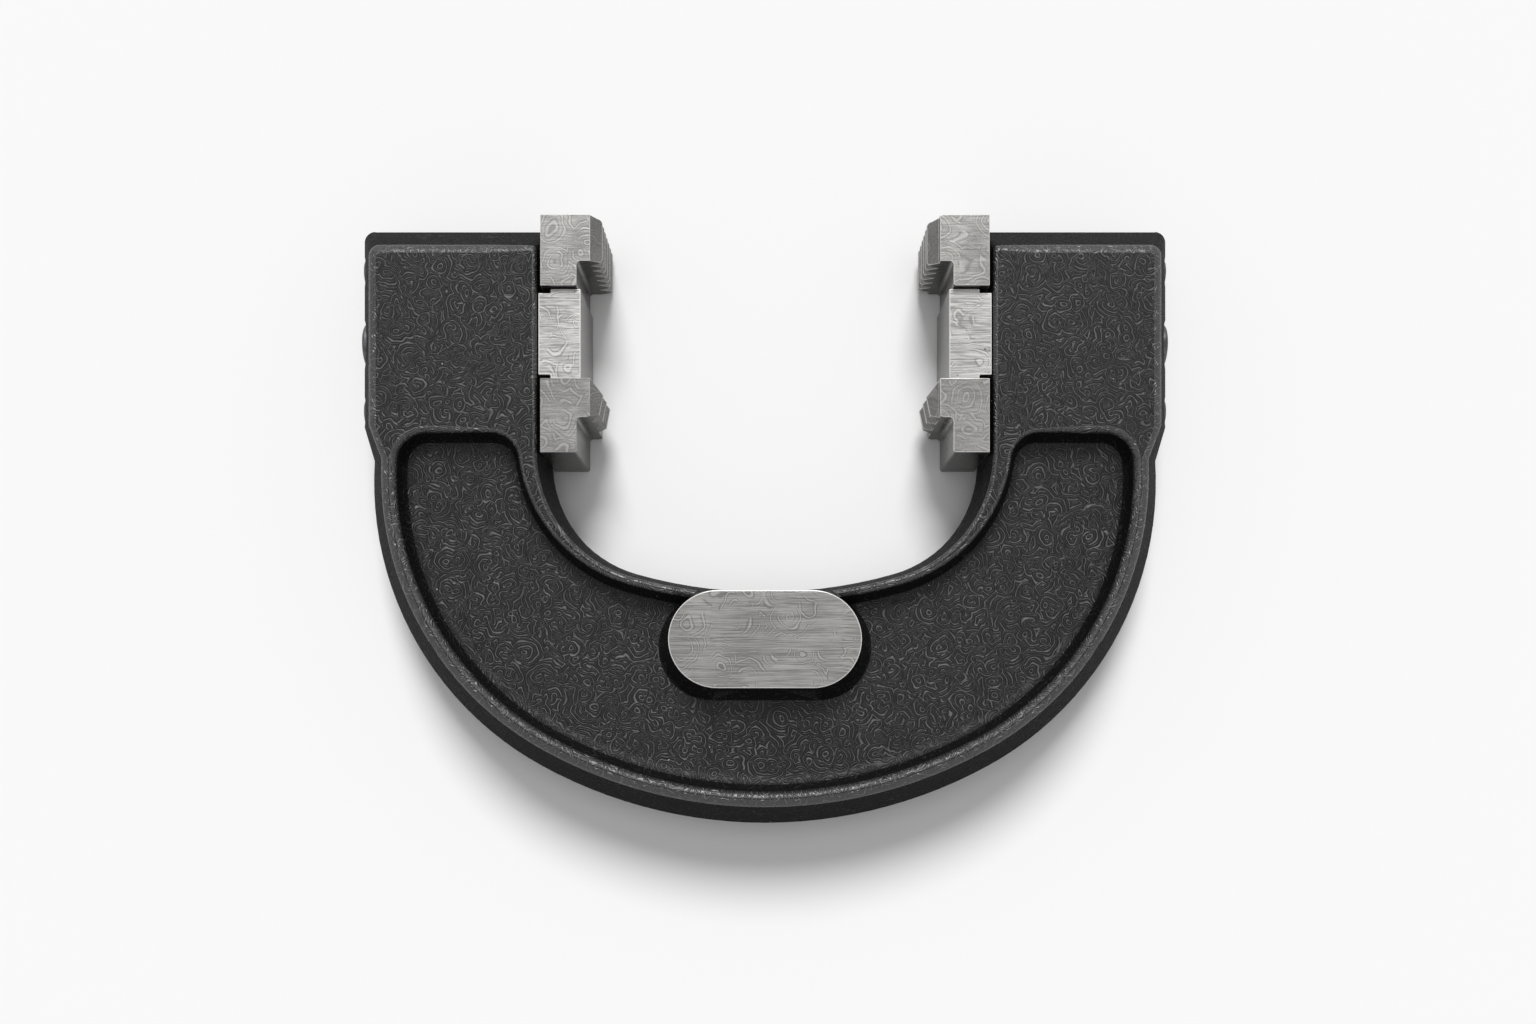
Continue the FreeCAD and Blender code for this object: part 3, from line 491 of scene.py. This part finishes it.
def spare_seams(shape):
    """Clear the edge layer, which carries the rubbed colour and its painted highlight, on the roundings
    that aren't on the front or back face.
    """
    edge_wear_and_highlight = shape.faces.layers.float["edge_wear_and_highlight"]
    for face in shape.faces:
        if RUB_REACH < face.calc_center_median().z < FACES[1] - RUB_REACH:
            face[edge_wear_and_highlight] = 0.0


def mark_sides(shape):
    """Note in the side layer how steep each face is, apart from the rounded edges: the finishes paint
    shade on the steep faces by it.
    """
    edge_wear_and_highlight = shape.faces.layers.float["edge_wear_and_highlight"]
    side = shape.faces.layers.float.new("side")
    for face in shape.faces:
        if not face[edge_wear_and_highlight]:
            face[side] = between(abs(face.normal.z), STEEP, LEVEL, 1.0, 0.0)


def sort_faces(shape):
    """Give the rounded edges the second material and the steep faces the third."""
    edge_wear_and_highlight = shape.faces.layers.float["edge_wear_and_highlight"]
    for face in shape.faces:
        steep = abs(face.normal.z) < STEEP
        face.material_index = 1 if face[edge_wear_and_highlight] else 2 if steep else 0


def finish_piece(shape, name, node, material):
    """Turn a bmesh into a piece that rides with its node's body and stands in for the node."""
    mesh = bpy.data.meshes.new(name)
    shape.to_mesh(mesh)
    shape.free()
    mesh.materials.append(material)
    mesh.polygons.foreach_set("use_smooth", [True] * len(mesh.polygons))
    mesh.set_sharp_from_angle(angle=SHARP_ANGLE)
    piece = bpy.data.objects.new(name, mesh)
    bpy.context.scene.collection.objects.link(piece)
    even = piece.modifiers.new("even_normals", "WEIGHTED_NORMAL")
    even.keep_sharp = True
    even.weight = NORMAL_WEIGHT
    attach(piece, frame["nodes"][node]["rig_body"])
    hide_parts(node)
    return piece


def dress(node, name, material, edge_break):
    """Dress a frame node: its sharp edges broken, its sides noted, and its finish put on."""
    shape = merged_copy(node)
    break_edges(shape, edge_break)
    mark_sides(shape)
    finish_piece(shape, name, node, material)


class Finish:
    """A node material built step by step."""

    def __init__(self, name):
        self.material = bpy.data.materials.new(name)
        self.material.use_nodes = True
        self.tree = self.material.node_tree
        self.tree.nodes.clear()
        self.output = self.tree.nodes.new("ShaderNodeOutputMaterial")
        self.shader = self.tree.nodes.new("ShaderNodeBsdfPrincipled")
        self.tree.links.new(self.shader.outputs["BSDF"], self.output.inputs["Surface"])
        self.place = self.tree.nodes.new("ShaderNodeTexCoord").outputs["Object"]

    def node(self, kind, **settings):
        """A new node with its settings."""
        made = self.tree.nodes.new(kind)
        for key, setting in settings.items():
            setattr(made, key, setting)
        return made

    def feed(self, socket, source):
        """Link a socket to an output, or set it to a number."""
        if isinstance(source, bpy.types.NodeSocket):
            self.tree.links.new(source, socket)
        else:
            socket.default_value = source

    def scaled(self, vector, scale):
        """Coordinates stretched by three factors."""
        mapping = self.node("ShaderNodeMapping")
        self.feed(mapping.inputs["Vector"], vector)
        self.feed(mapping.inputs["Scale"], scale)
        return mapping.outputs["Vector"]

    def noise(self, vector, scale, detail, roughness, colour=False):
        """Soft noise, as one value or as three in a colour."""
        made = self.node("ShaderNodeTexNoise")
        self.feed(made.inputs["Vector"], vector)
        self.feed(made.inputs["Scale"], scale)
        self.feed(made.inputs["Detail"], detail)
        self.feed(made.inputs["Roughness"], roughness)
        return made.outputs["Color" if colour else "Fac"]

    def maths(self, operation, first, second=0.0):
        """One arithmetic step."""
        made = self.node("ShaderNodeMath", operation=operation)
        self.feed(made.inputs[0], first)
        self.feed(made.inputs[1], second)
        return made.outputs[0]

    def vector_maths(self, operation, first, second):
        """One step of vector arithmetic."""
        made = self.node("ShaderNodeVectorMath", operation=operation)
        self.feed(made.inputs[0], first)
        if operation == "SCALE":
            self.feed(made.inputs["Scale"], second)
        else:
            self.feed(made.inputs[1], second)
        return made.outputs["Vector"]

    def total(self, first, *others):
        """The sum of several values."""
        for other in others:
            first = self.maths("ADD", first, other)
        return first

    def ramp(self, source, low, high, out_low=0.0, out_high=1.0):
        """Map a value's range smoothly to another range, and hold it within that."""
        made = self.node("ShaderNodeMapRange", interpolation_type="SMOOTHSTEP")
        self.feed(made.inputs["Value"], source)
        self.feed(made.inputs["From Min"], low)
        self.feed(made.inputs["From Max"], high)
        self.feed(made.inputs["To Min"], out_low)
        self.feed(made.inputs["To Max"], out_high)
        return made.outputs["Result"]

    def swing(self, source, reach):
        """A noise that swings as far below zero as above it."""
        return self.ramp(source, *NOISE_RANGE, -reach, reach)

    def blend(self, share, first, second):
        """Mix two colours."""
        made = self.node("ShaderNodeMix", data_type="RGBA")
        self.feed(made.inputs["Factor"], share)
        self.feed(made.inputs["A"], first)
        self.feed(made.inputs["B"], second)
        return made.outputs["Result"]

    def layer(self, name):
        """A share that the mesh carries on its faces."""
        return self.node("ShaderNodeAttribute", attribute_name=name).outputs["Fac"]

    def bump(self, height, depth, strength, under=None):
        """A bump of a real depth, on top of the one under it."""
        made = self.node("ShaderNodeBump")
        self.feed(made.inputs["Strength"], strength)
        self.feed(made.inputs["Distance"], depth)
        self.feed(made.inputs["Height"], height)
        if under is not None:
            self.feed(made.inputs["Normal"], under)
        return made.outputs["Normal"]

    def steel(self, base, side_shade_colour, edge_highlight):
        """Set bare steel's colour: painted shade on its sides, and on its broken edges a painted
        highlight, pale and less mirrorlike.
        """
        edge_wear_and_highlight = self.layer("edge_wear_and_highlight")
        # Painted shade: the steep sides darkened.
        side_shade_share = self.maths("MULTIPLY", self.layer("side"), STEEL_SIDE_SHADE_COVER)
        base = self.blend(side_shade_share, base, shade(side_shade_colour, STEEL_SIDE_SHADE))
        # Painted highlight: the broken edges turned pale and less metallic.
        edge_highlight_share = self.maths("MULTIPLY", edge_wear_and_highlight, STEEL_EDGE_HIGHLIGHT_COVER)
        self.set(Base_Color=self.blend(edge_highlight_share, base, rgba(edge_highlight)),
                 Metallic=self.ramp(edge_wear_and_highlight, 0.0, 1.0, *STEEL_METALLIC))

    def set(self, **inputs):
        """Set or link the shader's sockets, by name with underscores for spaces."""
        for key, source in inputs.items():
            self.feed(self.shader.inputs[key.replace("_", " ")], source)


def rgba(colour):
    """A colour with full alpha."""
    return (*colour, 1.0)


def shade(colour, share):
    """A lighter or darker shade of a colour, with full alpha."""
    return (*[min(1.0, share * part) for part in colour[:3]], 1.0)


def curls(made, cell, spacing, seed, line, shown, spread="3D"):
    """Rings round scattered centres, bent out of true: their crests and the grooves beside them.

    cell is how far apart the centres are, spacing the distance from ring to ring, line the share of
    it that a crest takes, and shown the share of the pattern that is seen at each place. With a spread
    of "2D" the rings are true on a face that looks along Z.
    """
    place = made.vector_maths("ADD", made.place, (seed, -seed, seed / 2))
    drift = made.noise(place, 1.0 / (BEND_SIZE * spacing), *BEND_TEXTURE, colour=True)
    drift = made.vector_maths("SUBTRACT", drift, (0.5, 0.5, 0.5))
    bent = made.vector_maths("ADD", place, made.vector_maths("SCALE", drift, BEND_REACH * spacing))
    rings = made.node("ShaderNodeTexVoronoi", feature="F1", voronoi_dimensions=spread)
    made.feed(rings.inputs["Vector"], bent)
    made.feed(rings.inputs["Scale"], 1.0 / cell)
    phase = made.maths("FRACT", made.maths("MULTIPLY", rings.outputs["Distance"], cell / spacing))
    off = made.maths("MULTIPLY", made.maths("ABSOLUTE", made.maths("SUBTRACT", phase, 0.5)), 2.0)
    crest = made.ramp(off, 0.0, line, 1.0, 0.0)
    opening = made.ramp(off, GROOVE_OPENING[0] * line, GROOVE_OPENING[1] * line)
    closing = made.ramp(off, GROOVE_CLOSING[0] * line, GROOVE_CLOSING[1] * line, 1.0, 0.0)
    groove = made.maths("MULTIPLY", opening, closing)
    return made.maths("MULTIPLY", crest, shown), made.maths("MULTIPLY", groove, shown)


def enamel_curls(made, spacing, spread):
    """The crests and grooves of the enamel's two families of curls."""
    mask = made.noise(made.place, 1.0 / (MASK_SIZE * spacing), *MASK_TEXTURE)
    families = []
    for cell, ring, seed, mask_ramp in ENAMEL_CURLS:
        shown = made.ramp(mask, *mask_ramp)
        families.append(curls(made, cell * spacing, ring * spacing, seed, CREST_WIDTH, shown, spread))
    return [made.maths("MAXIMUM", first, second) for first, second in zip(*families)]


def enamel_finish(settings, name, specular, roughness, coarseness, spread):
    """Black wrinkle enamel: curled narrow crests with a groove beside each, with a painted highlight on
    the crests and painted shade in the grooves, rubbed on its edges to a colour that is partly a painted
    highlight.
    """
    made = Finish(name)
    crest, groove = enamel_curls(made, settings.curl_spacing, spread)
    fading = made.ramp(made.noise(made.place, *CREST_HIGHLIGHT_FADING), *NOISE_RANGE, FAINTEST_CREST_HIGHLIGHT, 1.0)
    grain = made.noise(made.place, *ENAMEL_GRAIN)
    rubs = made.noise(made.place, *RUBS)
    patches = made.ramp(made.noise(made.place, *RUB_HIGHLIGHT_PATCHES), *RUB_HIGHLIGHT_PATCH_RANGE)
    rubbed_and_highlit = made.maths("MULTIPLY", made.ramp(rubs, *RUB_HIGHLIGHT_RANGE), patches)
    specks = made.node("ShaderNodeTexVoronoi", feature="F1")
    made.feed(specks.inputs["Vector"], made.place)
    made.feed(specks.inputs["Scale"], SPECK_SCALE)
    speck = made.ramp(specks.outputs["Distance"], *SPECK_EDGE, 1.0, 0.0)

    dark = shade(settings.enamel, ENAMEL_DARK)
    light = shade(settings.enamel, ENAMEL_LIGHT)
    base = made.blend(made.ramp(grain, *ENAMEL_GRAIN_RANGE), dark, light)
    # Painted shade in the grooves, and a painted highlight on the crests that fades from place to place.
    base = made.blend(groove, base, rgba(settings.groove))
    base = made.blend(made.maths("MULTIPLY", crest, fading), base, rgba(settings.crest))
    # Painted shade: the steep faces darkened towards the side colour.
    base = made.blend(made.maths("MULTIPLY", made.layer("side"), SIDE_SHADE_COVER), base, rgba(settings.side))
    # Rubbed edges: a lighter colour, partly wear and partly a painted highlight.
    base = made.blend(made.maths("MULTIPLY", made.layer("edge_wear_and_highlight"), rubbed_and_highlit), base, rgba(settings.worn_and_highlight))
    base = made.blend(speck, base, rgba(SPECK_COLOUR))
    least, most = roughness - ROUGHNESS_SWING, roughness + ROUGHNESS_SWING
    made.set(Base_Color=base, IOR=ENAMEL_IOR, Specular_IOR_Level=specular,
             Roughness=made.ramp(grain, *NOISE_RANGE, least, most))

    fine = made.maths("ADD", grain, made.maths("MULTIPLY", rubs, RUB_RELIEF))
    wrinkle = made.maths("SUBTRACT", crest, made.maths("MULTIPLY", groove, GROOVE_RELIEF))
    relief = made.bump(fine, GRAIN_DEPTH, coarseness)
    made.set(Normal=made.bump(wrinkle, WRINKLE_DEPTH, WRINKLE_STRENGTH, relief))
    return made.material


def ground_finish(name, colour, edge_highlight, swirls):
    """Ground steel with scratches along X and faint curls; swirls is how strong the curls are."""
    made = Finish(name)
    shown = made.ramp(made.noise(made.place, *GROUND_PATCHES), *GROUND_PATCH_RANGE)
    crest, groove = curls(made, *GROUND_CURLS, shown)
    stretch, texture = SCRATCHES
    lines = made.noise(made.scaled(made.place, stretch), *texture)
    cloud = made.noise(made.place, *GROUND_CLOUD)
    grain = made.noise(made.place, *STEEL_GRAIN)
    tone = made.total(made.swing(cloud, GROUND_CLOUD_SWING), made.swing(lines, SCRATCH_SWING),
                      made.swing(grain, STEEL_GRAIN_SWING), 0.5)
    dark = shade(colour, GROUND_DARK)
    light = shade(colour, GROUND_LIGHT)
    base = made.blend(tone, dark, light)
    base = made.blend(made.maths("MULTIPLY", crest, swirls), base, shade(light, GROUND_CREST))
    base = made.blend(made.maths("MULTIPLY", groove, swirls), base, dark)
    made.steel(base, dark, edge_highlight)
    made.set(Roughness=made.ramp(lines, *NOISE_RANGE, *STEEL_ROUGHNESS))
    relief = made.bump(lines, SCRATCH_DEPTH, SCRATCH_STRENGTH)
    made.set(Normal=made.bump(made.maths("SUBTRACT", crest, groove), CURL_DEPTH, swirls, relief))
    return made.material


def pits(made, share):
    """Scattered dark pits; share is how dark they are."""
    spots = made.node("ShaderNodeTexVoronoi", feature="F1")
    made.feed(spots.inputs["Vector"], made.place)
    made.feed(spots.inputs["Scale"], PIT_SCALE)
    pick = made.node("ShaderNodeSeparateColor")
    made.feed(pick.inputs["Color"], spots.outputs["Color"])
    chosen = made.ramp(pick.outputs["Red"], *PIT_CHOICE)
    spot = made.ramp(spots.outputs["Distance"], *PIT_EDGE, 1.0, 0.0)
    return made.maths("MULTIPLY", made.maths("MULTIPLY", spot, chosen), share)


def strokes(made, length, width):
    """Brush strokes of a length and width along X, which wander a little."""
    wander = made.noise(made.place, *BRUSHED_WANDER, colour=True)
    wander = made.vector_maths("SUBTRACT", wander, (0.5, 0.5, 0.5))
    place = made.vector_maths("ADD", made.place, made.vector_maths("SCALE", wander, WANDER_REACH))
    return made.noise(made.scaled(place, (1.0 / length, 1.0 / width, 1.0 / width)), *STROKE_NOISE)


def brushed_finish(name, colour, edge_highlight, stroke, pit_share):
    """Steel brushed along X in strokes of a length and width, pitted where pit_share is above 0."""
    made = Finish(name)
    lines = strokes(made, *stroke)
    stretch, texture = BROAD_STROKES
    broad = made.noise(made.scaled(made.place, stretch), *texture)
    shown = made.ramp(made.noise(made.place, *BRUSHED_PATCHES), *BRUSHED_PATCH_RANGE)
    crest, groove = curls(made, *BRUSHED_CURLS, shown)
    curl = made.maths("MULTIPLY", made.maths("SUBTRACT", crest, groove), BRUSHED_CURL_SWING)
    cloud = made.noise(made.place, *BRUSHED_CLOUD)
    tone = made.total(made.swing(lines, STROKE_SWING), made.swing(broad, BROAD_STROKE_SWING),
                      made.swing(cloud, BRUSHED_CLOUD_SWING), curl, 0.5)
    dark = shade(colour, BRUSHED_DARK)
    base = made.blend(tone, dark, shade(colour, BRUSHED_LIGHT))
    if pit_share:
        base = made.blend(pits(made, pit_share), base, rgba(PIT_COLOUR))
    made.steel(base, dark, edge_highlight)
    made.set(Roughness=made.ramp(lines, *NOISE_RANGE, *STEEL_ROUGHNESS),
             Normal=made.bump(lines, SCRATCH_DEPTH, SCRATCH_STRENGTH))
    return made.material


def blackened_finish(colour):
    """Oil-blackened screw steel."""
    made = Finish("blackened_steel")
    cloud = made.noise(made.place, *BLACKENED_CLOUD)
    base = made.blend(made.ramp(cloud, *BLACKENED_RANGE), rgba(colour), shade(colour, BLACKENED_LIGHT))
    made.set(Base_Color=base, Metallic=BLACKENED_METALLIC,
             Roughness=made.ramp(cloud, *NOISE_RANGE, *BLACKENED_ROUGHNESS),
             Normal=made.bump(cloud, TURNED_DEPTH, TURNED_STRENGTH))
    return made.material


def brass_finish(colour):
    """Turned brass with fine tool rings."""
    made = Finish("turned_brass")
    stretch, texture = TOOL_RINGS
    rings = made.noise(made.scaled(made.place, stretch), *texture)
    made.set(Base_Color=made.blend(rings, shade(colour, BRASS_DARK), rgba(colour)), Metallic=1.0,
             Roughness=made.ramp(rings, *NOISE_RANGE, *BRASS_ROUGHNESS),
             Normal=made.bump(rings, TURNED_DEPTH, TURNED_STRENGTH))
    return made.material


class GAUGE_OT_casting(bpy.types.Operator):
    """Dress the casting in wrinkle enamel with rounded, rubbed edges, their colour partly a painted
    highlight
    """

    bl_idname = "gauge.casting"
    bl_label = "Casting"

    def execute(self, context):
        settings = context.scene.gauge_frame
        shape = merged_copy("frame")
        split_long_edges(shape)
        shape = rounded(shape, lambda edge: casting_edge_width(edge, settings), settings.arm_round)
        spare_seams(shape)
        mark_sides(shape)
        sort_faces(shape)
        wrinkled, rubbed_and_highlit, dull = (enamel_finish(settings, *enamel) for enamel in ENAMELS)
        casting = finish_piece(shape, "casting", "frame", wrinkled)
        casting.data.materials.append(rubbed_and_highlit)
        casting.data.materials.append(dull)
        return {"FINISHED"}


class GAUGE_OT_anvils(bpy.types.Operator):
    """Dress the GO and NOT-GO anvils in ground steel"""

    bl_idname = "gauge.anvils"
    bl_label = "Anvils"

    def execute(self, context):
        settings = context.scene.gauge_steel
        material = ground_finish("ground_anvil_steel", settings.anvil, ANVIL_EDGE_HIGHLIGHT, ANVIL_SWIRLS)
        for family in FAMILIES:
            for side in SIDES:
                node = f"{family}_anvil_{side}"
                dress(node, f"{node}_ground", material, settings.edge_break)
        return {"FINISHED"}


class GAUGE_OT_blocks(bpy.types.Operator):
    """Dress the clamp blocks in steel ground along the arms"""

    bl_idname = "gauge.blocks"
    bl_label = "Clamp blocks"

    def execute(self, context):
        settings = context.scene.gauge_steel
        material = brushed_finish(
            "ground_block_steel", settings.block, BLOCK_EDGE_HIGHLIGHT, BLOCK_STROKE, BLOCK_PITS)
        for side in SIDES:
            node = f"clamp_block_{side}"
            dress(node, f"{node}_ground", material, settings.edge_break)
        return {"FINISHED"}


class GAUGE_OT_plate(bpy.types.Operator):
    """Dress the bare plate in brushed steel"""

    bl_idname = "gauge.plate"
    bl_label = "Plate"

    def execute(self, context):
        settings = context.scene.gauge_steel
        material = brushed_finish(
            "brushed_plate_steel", settings.plate, PLATE_EDGE_HIGHLIGHT, PLATE_STROKE, PLATE_PITS)
        dress("plate", "plate_brushed", material, settings.plate_edge)
        return {"FINISHED"}


class GAUGE_OT_screws(bpy.types.Operator):
    """Dress the screws and locking pads"""

    bl_idname = "gauge.screws"
    bl_label = "Screws and pads"

    def execute(self, context):
        settings = context.scene.gauge_fasteners
        steel = blackened_finish(settings.blackened)
        brass = brass_finish(settings.brass)
        kinds = {"screw": ("screw_steel", steel), "adjuster": ("screw_steel", steel),
                 "pad": ("pad_brass", brass)}
        for node in frame["nodes"]:
            for word, (slot, material) in kinds.items():
                if word in node:
                    dress(node, f"{node}_turned", material, settings.edge_break)
        return {"FINISHED"}


def far_lamp(name, place, angle, power):
    """A far, wide lamp that shines from its place towards the gauge and lights the whole floor evenly."""
    data = bpy.data.lights.new(name, "SUN")
    data.angle = angle
    data.energy = power
    lamp = bpy.data.objects.new(name, data)
    bpy.context.scene.collection.objects.link(lamp)
    lamp.location = place
    lamp.rotation_euler = Vector(place).to_track_quat("Z", "Y").to_euler()
    return lamp


def seen_directly(tree):
    """1 where the camera looks, straight or through a reflection or glass, and 0 for other light."""
    path = tree.nodes.new("ShaderNodeLightPath")
    seen = path.outputs["Is Camera Ray"]
    for ray in ("Is Glossy Ray", "Is Transmission Ray"):
        more = tree.nodes.new("ShaderNodeMath")
        more.operation = "MAXIMUM"
        tree.links.new(seen, more.inputs[0])
        tree.links.new(path.outputs[ray], more.inputs[1])
        seen = more.outputs[0]
    return seen


def floor_material(settings):
    """A pale floor: near white to the camera and in reflections, duller in the light it throws back."""
    made = Finish("pale_floor")
    colour = made.blend(seen_directly(made.tree), rgba(settings.floor_bounce), rgba(settings.floor))
    made.set(Base_Color=colour, Roughness=FLOOR_ROUGHNESS, Specular_IOR_Level=0.0)
    return made.material


def lay_floor(scene, settings):
    """Lay a wide pale floor under the gauge."""
    shape = bmesh.new()
    bmesh.ops.create_grid(shape, x_segments=1, y_segments=1, size=FLOOR_REACH)
    mesh = bpy.data.meshes.new("floor")
    shape.to_mesh(mesh)
    shape.free()
    mesh.materials.append(floor_material(settings))
    floor = bpy.data.objects.new("floor", mesh)
    scene.collection.objects.link(floor)


def hang_sky(scene, settings):
    """Put a white sky all round: near white to the camera and in reflections, duller in its light."""
    world = bpy.data.worlds.new("studio")
    scene.world = world
    world.use_nodes = True
    background = world.node_tree.nodes["Background"]
    background.inputs["Color"].default_value = (1.0, 1.0, 1.0, 1.0)
    seen = seen_directly(world.node_tree)
    strength = world.node_tree.nodes.new("ShaderNodeMapRange")
    strength.inputs["To Min"].default_value = settings.sky_light
    strength.inputs["To Max"].default_value = settings.sky_seen
    world.node_tree.links.new(seen, strength.inputs["Value"])
    world.node_tree.links.new(strength.outputs["Result"], background.inputs["Strength"])


def stand_camera(scene, settings):
    """Stand the camera over the gauge's bow, looking straight down, its view shifted to the middle."""
    data = bpy.data.cameras.new("camera")
    data.lens = settings.lens
    data.sensor_width = SENSOR_WIDTH
    data.shift_x, data.shift_y = CAMERA_SHIFT
    data.clip_start = CAMERA_NEAR
    camera = bpy.data.objects.new("camera", data)
    scene.collection.objects.link(camera)
    camera.location = (0.0, -settings.camera_drop, settings.camera_height)
    scene.camera = camera


class GAUGE_OT_stage(bpy.types.Operator):
    """Set the floor, the sky, the lamps and the camera"""

    bl_idname = "gauge.stage"
    bl_label = "Stage"

    def execute(self, context):
        scene = context.scene
        lay_floor(scene, scene.gauge_stage)
        hang_sky(scene, scene.gauge_stage)
        far_lamp("key", *KEY_LAMP)
        over = far_lamp("over", *OVER_LAMP)
        # In the steel's reflections it would add to the white sky behind it.
        over.visible_glossy = False
        stand_camera(scene, scene.gauge_stage)
        scene.view_settings.view_transform = "Standard"
        return {"FINISHED"}


class GAUGE_PT_panel(bpy.types.Panel):
    """The gauge's steps and sizes in the sidebar."""

    bl_idname = "GAUGE_PT_panel"
    bl_label = "Thread gauge"
    bl_space_type = "VIEW_3D"
    bl_region_type = "UI"
    bl_category = "Gauge"

    def draw(self, context):
        for step in STEPS:
            self.layout.operator(step.bl_idname)
        for group in SETTINGS:
            for field in getattr(context.scene, group).bl_rna.properties:
                if field.identifier not in ("rna_type", "name"):
                    self.layout.prop(getattr(context.scene, group), field.identifier)


STEPS = (GAUGE_OT_casting, GAUGE_OT_anvils, GAUGE_OT_blocks, GAUGE_OT_plate, GAUGE_OT_screws,
         GAUGE_OT_stage)
SETTINGS = {"gauge_frame": FrameSettings, "gauge_steel": SteelSettings,
            "gauge_fasteners": FastenerSettings, "gauge_stage": StageSettings}
CLASSES = (*SETTINGS.values(), *STEPS, GAUGE_PT_panel)


def register():
    for each in CLASSES:
        bpy.utils.register_class(each)
    for name, group in SETTINGS.items():
        setattr(bpy.types.Scene, name, bpy.props.PointerProperty(type=group))


def unregister():
    for name in SETTINGS:
        delattr(bpy.types.Scene, name)
    for each in reversed(CLASSES):
        bpy.utils.unregister_class(each)


def main():
    """Register the add-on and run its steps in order."""
    register()
    bpy.ops.gauge.casting()
    bpy.ops.gauge.anvils()
    bpy.ops.gauge.blocks()
    bpy.ops.gauge.plate()
    bpy.ops.gauge.screws()
    bpy.ops.gauge.stage()


if __name__ == "__main__":
    main()
